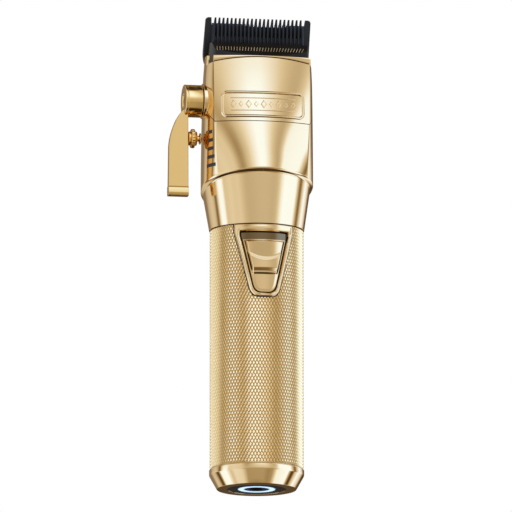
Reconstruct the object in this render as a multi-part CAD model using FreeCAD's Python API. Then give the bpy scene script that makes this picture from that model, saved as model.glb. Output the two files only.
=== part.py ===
import FreeCAD, Part
import math
import os

# Cordless hair clipper with a round knurled battery grip, built as an assembly.
#
# Frame: origin at the centre of the flat foot of the end cap, +Z up the grip axis to the
# blades, -Y is the front (badge and switch), the taper lever is on the -X side.
# Millimetres.
#

V = FreeCAD.Vector
os.makedirs("parts", exist_ok=True)

# ------------------------------------------------------------------ driving dimensions
GRIP_R = 20.0            # outside of the knurled sleeve
SLEEVE_IN_R = 18.2
CAP_FOOT_R = 17.2        # flat foot of the end cap
CAP_R = 20.25
CAP_CONE_H = 5.9
CAP_H = 8.3
SEAM_Z = 111.8           # joint between the grip and the head
HEAD_WALL = 1.7
PLATE_Z0, PLATE_Z1 = 156.3, 182.7   # face plate, lower and upper seam
SHOULDER_TILT = 0.25     # the shoulder line falls towards the back
BLADE_A = math.radians(18.0)        # blade plane, leaning back from the grip axis
TIP = (-3.9, 203.2)      # y, z of the fixed blade's cutting edge
FIXED_W = 45.6
FIXED_L = 36.5
FIXED_T = 3.0
FIXED_TEETH = 22         # thin teeth between the two guard teeth
FIXED_PITCH = 1.762
CUTTER_W = 40.5
CUTTER_TEETH = 24
CUTTER_PITCH = 1.67
CUTTER_TIP_S = 2.4       # cutter tips behind the fixed tips, lever open
CUTTER_THROW = 1.25      # each way
LEVER_Y, LEVER_Z = -1.0, 167.0
HUB_R = 7.0
HUB_X0, HUB_X1 = -24.35, -31.9
LEVER_SWING = 35.0
BLADE_TRAVEL = 1.9
ECC = BLADE_TRAVEL / (2 * math.sin(math.radians(LEVER_SWING / 2)))
BEZEL_R = 20.65
BEZEL_IN_R = 18.3
BEZEL_TOP_Z, BEZEL_BOT_Z = 111.55, 80.0
SWITCH_TRAVEL = 3.0
CELL_R, CELL_L = 9.2, 65.0

D = V(0, math.sin(BLADE_A), -math.cos(BLADE_A))   # from the tips to the heel
N = V(0, math.cos(BLADE_A), math.sin(BLADE_A))    # out of the skin side


# ------------------------------------------------------------------------- helpers
def export(name, *shapes):
    solids = []
    for s in shapes:
        solids += s.Solids
    for s in solids:
        if not s.isValid() or s.Volume <= 0:
            print("!! bad solid in", name, s.isValid(), round(s.Volume, 3))
    out = solids[0] if len(solids) == 1 else Part.makeCompound(solids)
    out.exportStep("parts/%s.step" % name)
    bb = out.BoundBox
    print("%-18s n=%d vol=%9.1f  x[%.1f %.1f] y[%.1f %.1f] z[%.1f %.1f]" % (
        name, len(solids), sum(s.Volume for s in solids), bb.XMin, bb.XMax, bb.YMin, bb.YMax, bb.ZMin, bb.ZMax))
    return out


def cyl(r, z0, z1, x=0.0, y=0.0):
    return Part.makeCylinder(r, z1 - z0, V(x, y, z0), V(0, 0, 1))


def cylx(r, x0, x1, y, z):
    """Cylinder along X."""
    return Part.makeCylinder(r, abs(x1 - x0), V(min(x0, x1), y, z), V(1, 0, 0))


def cyly(r, y0, y1, x, z):
    return Part.makeCylinder(r, abs(y1 - y0), V(x, min(y0, y1), z), V(0, 1, 0))


def tube(ro, ri, z0, z1):
    return cyl(ro, z0, z1).cut(cyl(ri, z0 - 1, z1 + 1))


def box(x0, x1, y0, y1, z0, z1):
    return Part.makeBox(x1 - x0, y1 - y0, z1 - z0, V(x0, y0, z0))


def revolve(points):
    """Closed (r, z) outline turned about Z."""
    pts = [V(r, 0, z) for r, z in points]
    face = Part.Face(Part.makePolygon(pts + [pts[0]]))
    return face.revolve(V(0, 0, 0), V(0, 0, 1), 360)


def prism_y(points, y0, y1):
    """(x, z) outline extruded along Y."""
    pts = [V(x, y0, z) for x, z in points]
    face = Part.Face(Part.makePolygon(pts + [pts[0]]))
    return face.extrude(V(0, y1 - y0, 0))


def prism_x(points, x0, x1):
    """(y, z) outline extruded along X."""
    pts = [V(x0, y, z) for y, z in points]
    face = Part.Face(Part.makePolygon(pts + [pts[0]]))
    return face.extrude(V(x1 - x0, 0, 0))


def rounded_rect(w, h, r, zc, y0, y1, xc=0.0):
    """Rounded rectangle in XZ extruded along Y."""
    b = Part.makeBox(w, y1 - y0, h, V(xc - w / 2, y0, zc - h / 2))
    edges = [e for e in b.Edges if abs(e.tangentAt(e.FirstParameter).y) > 0.99]
    return b.makeFillet(r, edges)


def bp(x, s, t):
    """A point in blade coordinates: x across, s back from the tips, t out of the skin side."""
    return V(x, TIP[0], TIP[1]) + D * s + N * t


def blade_prism(outline_st, x0, x1):
    """(s, t) outline extruded along X."""
    pts = [bp(x0, s, t) for s, t in outline_st]
    face = Part.Face(Part.makePolygon(pts + [pts[0]]))
    return face.extrude(V(x1 - x0, 0, 0))


def blade_plan(outline_xs, t0, t1):
    """(x, s) outline extruded along the blade normal."""
    pts = [bp(x, s, t0) for x, s in outline_xs]
    face = Part.Face(Part.makePolygon(pts + [pts[0]]))
    return face.extrude(N * (t1 - t0))


def blade_cyl(r, x, s, t0, t1):
    return Part.makeCylinder(r, t1 - t0, bp(x, s, t0), N)


def fuse(first, *rest):
    return first.fuse(list(rest)).removeSplitter() if rest else first


def spline(points):
    c = Part.BSplineCurve()
    c.interpolate(points)
    return c.toShape()


def arch_z(x):
    """Upper seam of the face plate, highest in the middle."""
    return PLATE_Z1 - 0.2 + 2.2 * (1 - (x / 21.0) ** 2)


def arch_prism(dz):
    xs = [-26 + i * 1.3 for i in range(41)]
    return prism_y([(-26, 120)] + [(x, arch_z(x) + dz) for x in xs] + [(26, 120)], -30, 10)


# ------------------------------------------------------------- head outer form
def super_pts(W, yf, yb, n, t):
    c, s = math.cos(t), math.sin(t)
    yc, dd = (yf + yb) / 2, (yb - yf) / 2
    return (W * math.copysign(abs(c) ** (2 / n), c), yc + dd * math.copysign(abs(s) ** (2 / n), s))


def smooth_section(z0, tilt, W, yf, yb, n, te=math.radians(38.0)):
    """Smooth closed section, in the same two edges as a creased one: a front edge and the rest."""
    front = [super_pts(W, yf, yb, n, -math.pi + te + (math.pi - 2 * te) * i / 8) for i in range(9)]
    rest = [super_pts(W, yf, yb, n, -te + (math.pi + 2 * te) * i / 24) for i in range(25)]
    return [[V(x, y, z0 - tilt * y) for x, y in pts] for pts in (front, rest)]


def creased_section(z0, tilt, W, yf, xe, ye, yb, n=2.7, ym=-2.0):
    """Front face arc from -xe to +xe with a crisp edge each side, then the sides and back."""
    R = (xe * xe + (ye - yf) ** 2) / (2 * (ye - yf))
    half = math.asin(xe / R)
    front = [(R * math.sin(a), yf + R - R * math.cos(a)) for a in [-half + half * i / 4 for i in range(9)]]
    right = []
    for i in range(5):                      # crease to the widest point
        u = i / 5
        right.append((xe + (W - xe) * math.sin(u * math.pi / 2), ye + (ym - ye) * u ** 1.15))
    for i in range(8):                      # widest point to the back
        a = math.pi / 2 * i / 7.5
        right.append((W * abs(math.cos(a)) ** (2 / n), ym + (yb - ym) * abs(math.sin(a)) ** (2 / n)))
    rest = right[:] + [(-x, y) for x, y in reversed(right)]
    return [[V(x, y, z0 - tilt * y) for x, y in pts] for pts in (front, rest)]


def wire_of(section):
    return Part.Wire([spline(section[0]), spline(section[1])])


def head_solid(d):
    """Head outer form, drawn in by d on every side."""
    C0 = smooth_section(SEAM_Z - (3.0 if d else 0), 0.0, 20.3 - d, -(20.3 - d), 20.3 - d, 2.0)
    C1 = smooth_section(128.05, SHOULDER_TILT, 22.75 - d, -21.5 + d, 22.4 - d, 2.12)
    S = [
        (130.05, SHOULDER_TILT, 23.85, -22.7, 19.4, -13.9, 22.9, 2.35, -2.0),
        (138.0, 0.17, 23.8, -21.6, 19.75, -14.0, 22.0, 2.45, -2.0),
        (147.0, 0.09, 23.7, -20.0, 20.1, -13.9, 19.9, 2.55, -2.0),
        (156.3, 0.03, 23.6, -18.2, 20.4, -13.6, 17.3, 2.7, -2.0),
        (167.0, 0.0, 23.45, -16.3, 20.6, -12.9, 14.2, 2.8, -2.2),
        (177.0, 0.0, 23.2, -14.9, 20.75, -12.1, 11.6, 2.8, -2.4),
        (187.5, 0.0, 22.55, -13.7, 20.8, -11.3, 9.4, 2.8, -2.6),
    ]
    secs = []
    for z0, tilt, W, yf, xe, ye, yb, n, ym in S:
        secs.append(creased_section(z0, tilt, W - d, yf + d, xe - d * 0.9, ye + d, yb - d, n, ym))
    w0, w1 = wire_of(C0), wire_of(C1)
    ws = [wire_of(s) for s in secs]
    cone = Part.makeLoft([w0, w1], True, True)
    chamfer = Part.makeLoft([w1, ws[0]], True, True)
    upper = Part.makeLoft(ws, True, False)
    return cone.fuse([chamfer, upper])


OUT = head_solid(0.0)
INN = head_solid(HEAD_WALL)
print("head solids", OUT.Volume, INN.Volume, len(OUT.Solids), len(INN.Solids), OUT.isValid(), INN.isValid())

# everything on the skin side of the blade seat, from the tips to just past the heel
seat_cut = blade_prism([(-12, -0.05), (FIXED_L + BLADE_TRAVEL + 0.6, -0.05), (FIXED_L + BLADE_TRAVEL + 0.6, 30), (-12, 30)], -30, 30)
shell = OUT.cut(INN).cut(seat_cut)
shell = shell.cut(cyl(18.6, 100, 116))

# face plate: the front and the side wings above the lower seam
GAP = 0.14
plate_zone = prism_x([(-40, PLATE_Z0), (-13.6, PLATE_Z0), (-5.2, 163.2), (-5.2, 186.0), (-40, 186.0)], -30, 30).common(arch_prism(0.0))
plate_clear = prism_x([(-40, PLATE_Z0 - GAP), (-13.55, PLATE_Z0 - GAP), (-5.2 + GAP, 163.1), (-5.2 + GAP, 200), (-40, 200)], -30, 30)
boss = cylx(7.5, -24.2, -20.6, LEVER_Y, LEVER_Z)
boss_clear = cylx(7.65, -30, -18, LEVER_Y, LEVER_Z)
plate = shell.common(plate_zone).cut(boss_clear)
main = shell.cut(plate_clear)
bush_hole = cylx(3.3, -26, -16, LEVER_Y, LEVER_Z)
main = main.fuse(boss.cut(INN.common(box(-40, 0, -40, 40, 100, 200)))).cut(bush_hole).cut(seat_cut)
cutter_room = blade_prism([(0, -4.4), (0, 2), (21.6, 2), (21.6, -4.4)], -21.85, 21.85)
main = main.cut(cutter_room)
plate = plate.cut(cutter_room)

# trim the housing's top edge behind the nose
top_cut = box(-40, 40, -40, 40, 186.2, 230)
main = main.cut(top_cut)

# plaque seat in the face plate
PLQ_W, PLQ_H, PLQ_R, PLQ_Z = 36.6, 12.2, 2.9, 163.7
plq_prism = rounded_rect(PLQ_W, PLQ_H, PLQ_R, PLQ_Z, -40, -6)
lift = OUT.copy(); lift.translate(V(0, -0.55, 0))
sink = OUT.copy(); sink.translate(V(0, 0.6, 0))
sink2 = OUT.copy(); sink2.translate(V(0, 0.62, 0))
plaque = lift.cut(sink).common(plq_prism).common(box(-30, 30, -40, -8, 150, 180))
flat = OUT.copy(); flat.translate(V(0, -0.12, 0))
well = rounded_rect(PLQ_W - 2.6, PLQ_H - 2.6, PLQ_R - 1.1, PLQ_Z, -40, -6).cut(
    rounded_rect(PLQ_W - 4.4, PLQ_H - 4.4, PLQ_R - 1.9, PLQ_Z, -41, -5))
plaque = plaque.cut(well.cut(flat))
seat = rounded_rect(PLQ_W + 0.06, PLQ_H + 0.06, PLQ_R, PLQ_Z, -40, -6).cut(sink2)
plate = plate.cut(seat)
plate_pegs = [cyly(1.6, -12.5, -8.5, sx * 15.0, 181.0) for sx in (-1, 1)]

# release button opening at the back of the cone
REL_Z = 119.5
rel_hole = rounded_rect(9.4, 5.4, 2.4, REL_Z, 14, 30)
main = main.cut(rel_hole)

# mounting screws of the housing, low on the back
screw_xy = [(-11.0, 124.5), (11.0, 124.5)]
for x, z in screw_xy:
    main = main.cut(cyly(1.25, 10, 30, x, z)).cut(cyly(2.3, 20.0, 30, x, z))

# printed lever scale: shallow bars let into the left side of the housing
scale_bars = []
SCALE_Y = -10.4
for i, (zc, ln) in enumerate([(152.2, 2.6), (148.6, 3.4), (145.0, 4.2), (141.4, 5.0), (137.8, 5.8)]):
    scale_bars.append(box(-30, -10, SCALE_Y - ln / 2, SCALE_Y + ln / 2, zc - 0.75, zc + 0.75))
inn_scale = OUT.copy(); inn_scale.translate(V(0.35, 0, 0))
scale_skin = OUT.cut(inn_scale)
side_scale = [scale_skin.common(b) for b in scale_bars]
for b in scale_bars:
    main = main.cut(scale_skin.common(b))
main_housing = export("main_housing", main)
export("side_scale", *side_scale)
export("face_plate", plate)
export("badge_plaque", plaque)

# nose frame: lip, mirror-polished slope and cheeks in front of the cutter
NOSE_T = -3.6
nose_poly = [(-30, PLATE_Z1 - 2.0), (-30, 185.6), (-13.3, 185.6), (-7.4, 191.7), (-6.7, 191.7)]
g = lambda z, t: TIP[0] + (TIP[1] - z) * math.tan(BLADE_A) + t / math.cos(BLADE_A)
nose_poly += [(g(191.7, NOSE_T), 191.7), (g(178.0, NOSE_T), 178.0), (g(178.0, NOSE_T) - 2.0, 178.0), (-5.0, PLATE_Z1 - 2.0)]
nose = prism_x(nose_poly, -30, 30)
nose_ext = creased_section(176.0, 0, 22.0, -14.2, 19.75, -11.9, 14, 2.8, -2.4)
nose_ext2 = creased_section(194.0, 0, 21.2, -12.4, 19.9, -10.2, 14, 2.8, -2.4)
nose_outer = Part.makeLoft([wire_of(nose_ext), wire_of(nose_ext2)], True, True)
nose = nose.common(nose_outer)
# inside of the nose: an offset of the same profile, open at the cutter side
inner_poly = [(-30, 150), (-30, 184.7), (-11.6, 184.7), (-7.0, 190.5), (-3.0, 190.5), (20, 190.5), (20, 150)]
nose_in = prism_x(inner_poly, -18.4, 18.4)
nose_ext3 = Part.makeLoft([wire_of(creased_section(170.0, 0, 20.6, -12.9, 18.4, -10.9, 20, 2.8, -2.4)),
                           wire_of(creased_section(196.0, 0, 19.8, -10.9, 18.4, -8.9, 20, 2.8, -2.4))], True, True)
nose = nose.cut(nose_in.common(nose_ext3))
nose = nose.cut(arch_prism(0.12).common(box(-30, 30, -30, -9.6, 150, 190)))
nose = nose.cut(main).cut(plate)
solids = sorted(nose.Solids, key=lambda s: -s.Volume)
print("nose pieces", [round(s.Volume, 1) for s in solids])
# the polished lip along the front of the nose, let into the dark frame
inner_side = nose_outer.copy()
inner_side.translate(V(0, 0.8, 0))
lip_strip = solids[0].common(box(-20.6, 20.6, -30, -9, 181.5, 185.6)).cut(inner_side)
lip_strip = sorted(lip_strip.Solids, key=lambda q: -q.Volume)[0]
frame_left = solids[0].cut(lip_strip)
print("lip", round(lip_strip.Volume, 2), "frame pieces", [round(q.Volume, 2) for q in frame_left.Solids])
export("nose_frame", frame_left)
export("nose_lip", lip_strip)

# ------------------------------------------------------------------ blade set
fixed = blade_prism([(0, 0), (0.0, 0.28), (1.2, 0.75), (9.5, 2.1), (15.0, FIXED_T), (FIXED_L, FIXED_T), (FIXED_L, 0)], -FIXED_W / 2, FIXED_W / 2)
cuts = []
x_first = -FIXED_PITCH * (FIXED_TEETH - 1) / 2
guard_in = 20.35
edges_x = []
for i in range(FIXED_TEETH + 1):
    lo = -guard_in if i == 0 else x_first + FIXED_PITCH * (i - 1) + 0.29
    hi = guard_in if i == FIXED_TEETH else x_first + FIXED_PITCH * i - 0.29
    mid = (lo + hi) / 2
    wr = (hi - lo) / 2 - 0.26
    cuts.append(blade_plan([(lo, -1), (hi, -1), (mid + wr, 3.0), (mid + wr * 0.5, 3.6), (mid - wr * 0.5, 3.6), (mid - wr, 3.0)], -1, 5))
fixed = fixed.cut(cuts)
# rounded outer corners at the guard tips and the heel
for sx in (-1, 1):
    w = FIXED_W / 2
    fixed = fixed.cut(blade_plan([(sx * (w + 1), -1), (sx * (w + 1), 1.1), (sx * w, 1.1), (sx * (w - 0.35), 0.35), (sx * (w - 1.1), 0.0), (sx * (w - 1.1), -1)], -1, 5))
    fixed = fixed.cut(blade_plan([(sx * (w + 1), FIXED_L + 1), (sx * (w + 1), FIXED_L - 5), (sx * w, FIXED_L - 5), (sx * (w - 5), FIXED_L), (sx * (w - 5), FIXED_L + 1)], -1, 5))
SCREW_X, SCREW_S = 13.0, 28.5
for sx in (-1, 1):
    fixed = fixed.cut(blade_cyl(1.65, sx * SCREW_X, SCREW_S, -1, 5)).cut(blade_cyl(3.0, sx * SCREW_X, SCREW_S, 1.5, 5))
# long window under the cutter heel, as on a ground blade
fixed = fixed.cut(blade_plan([(-8, 19), (8, 19), (8, 24), (-8, 24)], -1, 1.1))
# waist behind the cutting edge: the body is narrower than the toothed part
for sx in (-1, 1):
    w = FIXED_W / 2
    side = [(sx * (w + 2), FIXED_L + 2), (sx * (w + 2), 15.5), (sx * w, 15.5)]
    side += [(sx * (20.4 + (w - 20.4) * math.cos(math.radians(90 * k / 8))), 15.5 + 6.5 * math.sin(math.radians(90 * k / 8))) for k in range(1, 9)]
    side += [(sx * 20.4, FIXED_L + 2)]
    fixed = fixed.cut(blade_plan(side, -1, 5))
export("fixed_blade", fixed)

cut_t = [(CUTTER_TIP_S, -0.06), (CUTTER_TIP_S, -0.4), (CUTTER_TIP_S + 1.2, -1.1), (9.6, -2.7), (20.0, -2.7), (20.0, -0.06)]
cutter = blade_prism(cut_t, -CUTTER_W / 2, CUTTER_W / 2)
ccuts = []
c_first = -CUTTER_PITCH * (CUTTER_TEETH - 1) / 2
for i in range(CUTTER_TEETH - 1):
    mid = c_first + CUTTER_PITCH * (i + 0.5)
    ccuts.append(blade_plan([(mid - 0.5, 1), (mid + 0.5, 1), (mid + 0.36, 8.4), (mid + 0.15, 9.2), (mid - 0.15, 9.2), (mid - 0.36, 8.4)], -6, 2))
cutter = cutter.cut(ccuts)
for sx in (-1, 1):
    cutter = cutter.cut(blade_cyl(1.2, sx * 7.5, 15.5, -6, 2))
export("cutter_blade", cutter)

# plastic carriage on the cutter, with the slot that the crank pin works in
YOKE_T0, YOKE_T1 = -4.7, -2.72
yoke = blade_prism([(13.3, YOKE_T0), (13.3, YOKE_T1), (20.0, YOKE_T1), (20.0, YOKE_T0)], -11, 11)
col = prism_x([(-7.6, 157.2), (-4.9, 157.2), (-4.9, 176), (-2.2, 183.5), (-2.2, 186.6), (-4.4, 187.4), (-7.6, 182.0)], -3.3, 3.3)
col = col.cut(blade_prism([(-5, YOKE_T1), (-5, 40), (60, 40), (60, YOKE_T1)], -30, 30))
ring = box(-8.4, 8.4, -7.6, 6.4, 157.2, 161.6).cut(box(-5.75, 5.75, -4.9, 4.6, 150, 170))
yoke = fuse(yoke, col, ring)
for sx in (-1, 1):
    yoke = fuse(yoke, blade_cyl(1.15, sx * 7.5, 15.5, -3.5, -0.6))
export("cutter_yoke", yoke)

# blade carrier: moved by the taper lever, carries the fixed blade
CAR_T0, CAR_T1 = -1.85, -0.06
carrier = blade_prism([(21.6, CAR_T0), (21.6, CAR_T1), (FIXED_L, CAR_T1), (FIXED_L, CAR_T0)], -16, 16)
ecc_c = V(0, LEVER_Y, LEVER_Z) + N * (ECC * math.cos(math.radians(-LEVER_SWING / 2))) + D * (ECC * math.sin(math.radians(-LEVER_SWING / 2)))
rel = ecc_c - V(0, TIP[0], TIP[1])
ecc_s, ecc_t = rel.dot(D), rel.dot(N)
print("eccentric pin at s,t", round(ecc_s, 3), round(ecc_t, 3), "ecc", round(ECC, 3), "ratio m/rad", BLADE_TRAVEL / 1000 / math.radians(LEVER_SWING))
ear = blade_prism([(ecc_s - 2.6, CAR_T1), (ecc_s - 2.6, ecc_t - 2.6), (ecc_s + 2.6, ecc_t - 2.6), (ecc_s + 2.6, CAR_T1)], -12.4, -9.0)
slot = blade_prism([(ecc_s - 1.42, ecc_t - 1.7), (ecc_s + 1.42, ecc_t - 1.7), (ecc_s + 1.42, ecc_t + 1.75), (ecc_s - 1.42, ecc_t + 1.75)], -20, 0)
carrier = fuse(carrier, ear).cut(slot)
for sx in (-1, 1):
    carrier = carrier.cut(blade_cyl(1.32, sx * SCREW_X, SCREW_S, -5, 1))
export("blade_carrier", carrier)

screws = []
for sx in (-1, 1):
    s = blade_cyl(1.3, sx * SCREW_X, SCREW_S, CAR_T0, 1.6)
    s = s.fuse(blade_cyl(2.85, sx * SCREW_X, SCREW_S, 1.55, 3.25))
    s = s.cut(blade_prism([(SCREW_S - 0.35, 2.4), (SCREW_S + 0.35, 2.4), (SCREW_S + 0.35, 4), (SCREW_S - 0.35, 4)], sx * SCREW_X - 2.1, sx * SCREW_X + 2.1))
    s = s.cut(blade_prism([(SCREW_S - 2.1, 2.4), (SCREW_S + 2.1, 2.4), (SCREW_S + 2.1, 4), (SCREW_S - 2.1, 4)], sx * SCREW_X - 0.35, sx * SCREW_X + 0.35))
    screws.append(s)
export("blade_screws", *screws)

# blade bed: fixed guide plate that the carrier slides on
bed = blade_prism([(21.8, -3.3), (21.8, -1.95), (40.0, -1.95), (40.0, -3.3)], -19.0, 19.0)
bed = bed.cut(blade_plan([(-13.2, ecc_s - 3.2), (-8.2, ecc_s - 3.2), (-8.2, ecc_s + 5.2), (-13.2, ecc_s + 5.2)], -5, 0))
bed = bed.common(INN)
bed = sorted(bed.Solids, key=lambda s: -s.Volume)[0]
export("blade_bed", bed)

# blade tension spring: bent wire, held by the nose, over the carriage
def wire_sweep(points, r, rad):
    """Round wire along a polyline with rounded corners."""
    edges = []
    p = [V(*q) for q in points]
    a = p[0]
    for i in range(1, len(p) - 1):
        u = (p[i] - p[i - 1]).normalize()
        w = (p[i + 1] - p[i]).normalize()
        ang = math.acos(max(-1, min(1, u.dot(w))))
        if ang < 1e-4:
            continue
        tl = rad * math.tan(ang / 2)
        t1, t2 = p[i] - u * tl, p[i] + w * tl
        b = (w - u).normalize()
        mid = p[i] + b * (rad / math.cos(ang / 2) - rad)
        edges.append(Part.LineSegment(a, t1).toShape())
        edges.append(Part.Arc(t1, mid, t2).toShape())
        a = t2
    edges.append(Part.LineSegment(a, p[-1]).toShape())
    path = Part.Wire(edges)
    c = Part.Wire([Part.makeCircle(r, p[0], (p[1] - p[0]))])
    return path.makePipeShell([c], True, True)

sp = [bp(-9.5, 20.5, -8.0), bp(-9.5, 13.2, -5.6), bp(9.5, 13.2, -5.6), bp(9.5, 20.5, -8.0)]
spring = wire_sweep([(q.x, q.y, q.z) for q in sp], 0.55, 2.0)
export("tension_spring", spring)

# ------------------------------------------------------------------ taper lever
hub = cylx(HUB_R, HUB_X0, HUB_X1, LEVER_Y, LEVER_Z)
ends = [e for e in hub.Edges if e.Curve.TypeId == "Part::GeomCircle"]
hub = hub.makeFillet(0.45, ends)
ARM_Y0, ARM_Y1 = LEVER_Y - 2.6, LEVER_Y + 0.9
ARM_CURVE = [(-31.9, 163.0), (-33.0, 162.0), (-34.2, 160.4), (-35.4, 158.3), (-36.5, 155.8), (-37.4, 153.1), (-38.1, 150.2), (-38.5, 147.0)]
arm_pts = [(-30.25, 163.5)] + ARM_CURVE + [(-38.85, 126.6), (-38.5, 125.4), (-30.35, 125.4), (-30.05, 125.9)]
arm = prism_y(arm_pts, ARM_Y0, ARM_Y1)
lip = Part.makeCylinder(1.55, 8.4, V(-38.75, ARM_Y0 + 0.95, 127.0), V(1, 0, 0))
arm = arm.fuse(lip)
lever = hub.fuse(arm)
lever = lever.cut(cylx(2.22, -29.0, HUB_X0 + 2, LEVER_Y, LEVER_Z)).cut(cylx(1.15, -33, -28, LEVER_Y, LEVER_Z))
lever = lever.cut(cylx(3.0, HUB_X1 + 1.4, HUB_X1 - 4, LEVER_Y, LEVER_Z))
DET_Z = 150.6
DET_Y = LEVER_Y - 0.85
lever = lever.cut(cylx(1.35, -34.5, -28, DET_Y, DET_Z))
export("taper_lever", lever)
lever_screw = cylx(2.9, HUB_X1 + 0.35, HUB_X1 + 1.38, LEVER_Y, LEVER_Z).fuse(cylx(1.1, HUB_X1 + 1.3, -27.2, LEVER_Y, LEVER_Z))
lever_screw = lever_screw.cut(box(HUB_X1 - 1, HUB_X1 + 0.85, LEVER_Y - 0.35, LEVER_Y + 0.35, LEVER_Z - 1.9, LEVER_Z + 1.9))
lever_screw = lever_screw.cut(box(HUB_X1 - 1, HUB_X1 + 0.85, LEVER_Y - 1.9, LEVER_Y + 1.9, LEVER_Z - 0.35, LEVER_Z + 0.35))
export("lever_screw", lever_screw)
shaft = cylx(2.2, -28.9, -13.9, LEVER_Y, LEVER_Z).fuse(cylx(4.7, -15.9, -13.9, LEVER_Y, LEVER_Z))
shaft = shaft.fuse(Part.makeCylinder(1.3, 5.0, V(-14.0, ecc_c.y, ecc_c.z), V(1, 0, 0)))
shaft = shaft.cut(cylx(1.12, -29.5, -27.0, LEVER_Y, LEVER_Z))
export("lever_shaft", shaft)
bushing = cylx(3.25, -24.25, -19.2, LEVER_Y, LEVER_Z).fuse(cylx(4.6, -19.9, -18.9, LEVER_Y, LEVER_Z)).cut(cylx(2.26, -30, -10, LEVER_Y, LEVER_Z))
bushing = bushing.cut(main)
bushing = sorted(bushing.Solids, key=lambda s: -s.Volume)[0]
export("lever_bushing", bushing)

# detent plunger and its sleeve on the inside of the lever arm
sleeve = cylx(4.1, -28.9, -27.3, DET_Y, DET_Z)
sleeve = sleeve.makeFillet(0.4, [e for e in sleeve.Edges if e.Curve.TypeId == "Part::GeomCircle"])
sleeve = sleeve.fuse(cylx(2.8, -30.1, -28.6, DET_Y, DET_Z)).fuse(cylx(3.1, -27.6, -26.6, DET_Y, DET_Z))
sleeve = sleeve.cut(cylx(1.35, -34, -25, DET_Y, DET_Z))
export("detent_sleeve", sleeve)
DET_TIP = -24.05
pin = cylx(1.28, -29.6, DET_TIP + -1.1, DET_Y, DET_Z).fuse(Part.makeSphere(1.28, V(DET_TIP - 1.28, DET_Y, DET_Z)))
export("detent_pin", pin)


def coil(r_mean, wire_r, pitch, turns, origin, axis):
    h = Part.makeHelix(pitch, pitch * turns, r_mean)
    prof = Part.Wire([Part.makeCircle(wire_r, V(r_mean, 0, 0), V(0, 1, 0))])
    s = Part.Wire(h.Edges).makePipeShell([prof], True, True)
    s.rotate(V(0, 0, 0), V(0, 1, 0) if abs(axis.x) > 0.5 else V(1, 0, 0), 90 if axis.x > 0.5 or axis.y < -0.5 else -90)
    s.translate(origin)
    return s


det_spring = coil(0.9, 0.18, 0.66, 5.2, V(-34.3, DET_Y, DET_Z), V(1, 0, 0))
export("detent_spring", det_spring)

# ------------------------------------------------------------------ motor and drive
can = revolve([(13.0, 119.2), (13.0, 148.0), (12.1, 148.0), (12.1, 120.2), (4.2, 120.2), (4.2, 121.0 + 2.6), (2.9, 121.0 + 2.6), (2.9, 119.2)])
export("motor_can", can)
bell = revolve([(12.95, 148.05), (12.95, 149.4), (4.15, 149.4), (4.15, 150.9), (2.0, 150.9), (2.0, 150.1), (3.05, 150.1), (3.05, 147.3), (12.0, 147.3), (12.0, 148.05)])
for sy in (-1, 1):
    bell = bell.cut(cyl(1.05, 140, 155, 0, sy * 8.6))
export("motor_end_bell", bell)
stator = tube(12.0, 10.2, 126, 144)
for i in range(6):
    a = math.radians(60 * i)
    tooth = box(8.0, 10.4, -1.7, 1.7, 126.5, 143.5)
    shoe = tube(8.6, 7.9, 126.5, 143.5).common(box(0, 12, -3.1, 3.1, 120, 150))
    t = tooth.cut(cyl(7.9, 120, 150)).fuse(shoe)
    t.rotate(V(0, 0, 0), V(0, 0, 1), 60 * i + 30)
    stator = stator.fuse(t)
export("stator_core", stator.removeSplitter())
export("lower_bearing", revolve([(2.86, 120.9), (2.86, 123.4), (1.54, 123.4), (1.54, 120.9)]))
export("upper_bearing", revolve([(3.0, 147.4), (3.0, 149.9), (1.54, 149.9), (1.54, 147.4)]))
export("rotor_shaft", cyl(1.5, 120.6, 155.9))
export("rotor_magnet", tube(7.4, 1.52, 126.6, 143.4))
cam = cyl(4.6, 151.6, 154.9).cut(cyl(1.52, 150, 157)).fuse(cyl(3.4, 154.9, 156.7)).cut(cyl(1.52, 150, 155.95))
cam = cam.fuse(cyl(1.3, 156.6, 162.0, CUTTER_THROW, 0))
cam = cam.cut(box(-6, -2.6, -6, 6, 153.0, 156.8))
export("drive_cam", cam)
cb = cyl(3.0, 157.4, 161.2, CUTTER_THROW, 0).cut(cyl(1.32, 150, 170, CUTTER_THROW, 0))
export("cam_bearing", cb)
mount = tube(16.4, 5.2, 151.0, 152.4).common(box(-20, 20, -15.2, 13.6, 140, 160))
for sy in (-1, 1):
    mount = mount.cut(cyl(1.05, 140, 155, 0, sy * 8.6))
for sx in (-1, 1):
    mount = mount.cut(cyl(1.05, 140, 155, sx * 14.3, 0))
export("motor_mount", mount)
ms = []
for sy in (-1, 1):
    ms.append(cyl(1.0, 147.4, 152.5, 0, sy * 8.6).fuse(cyl(1.8, 152.45, 153.5, 0, sy * 8.6)).cut(box(-1.3, 1.3, sy * 8.6 - 0.25, sy * 8.6 + 0.25, 153.0, 154)))
for sx in (-1, 1):
    ms.append(cyl(1.0, 146.5, 152.5, sx * 14.3, 0).fuse(cyl(1.8, 152.45, 153.5, sx * 14.3, 0)).cut(box(sx * 14.3 - 1.3, sx * 14.3 + 1.3, -0.25, 0.25, 153.0, 154)))
export("motor_screws", *ms)

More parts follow.
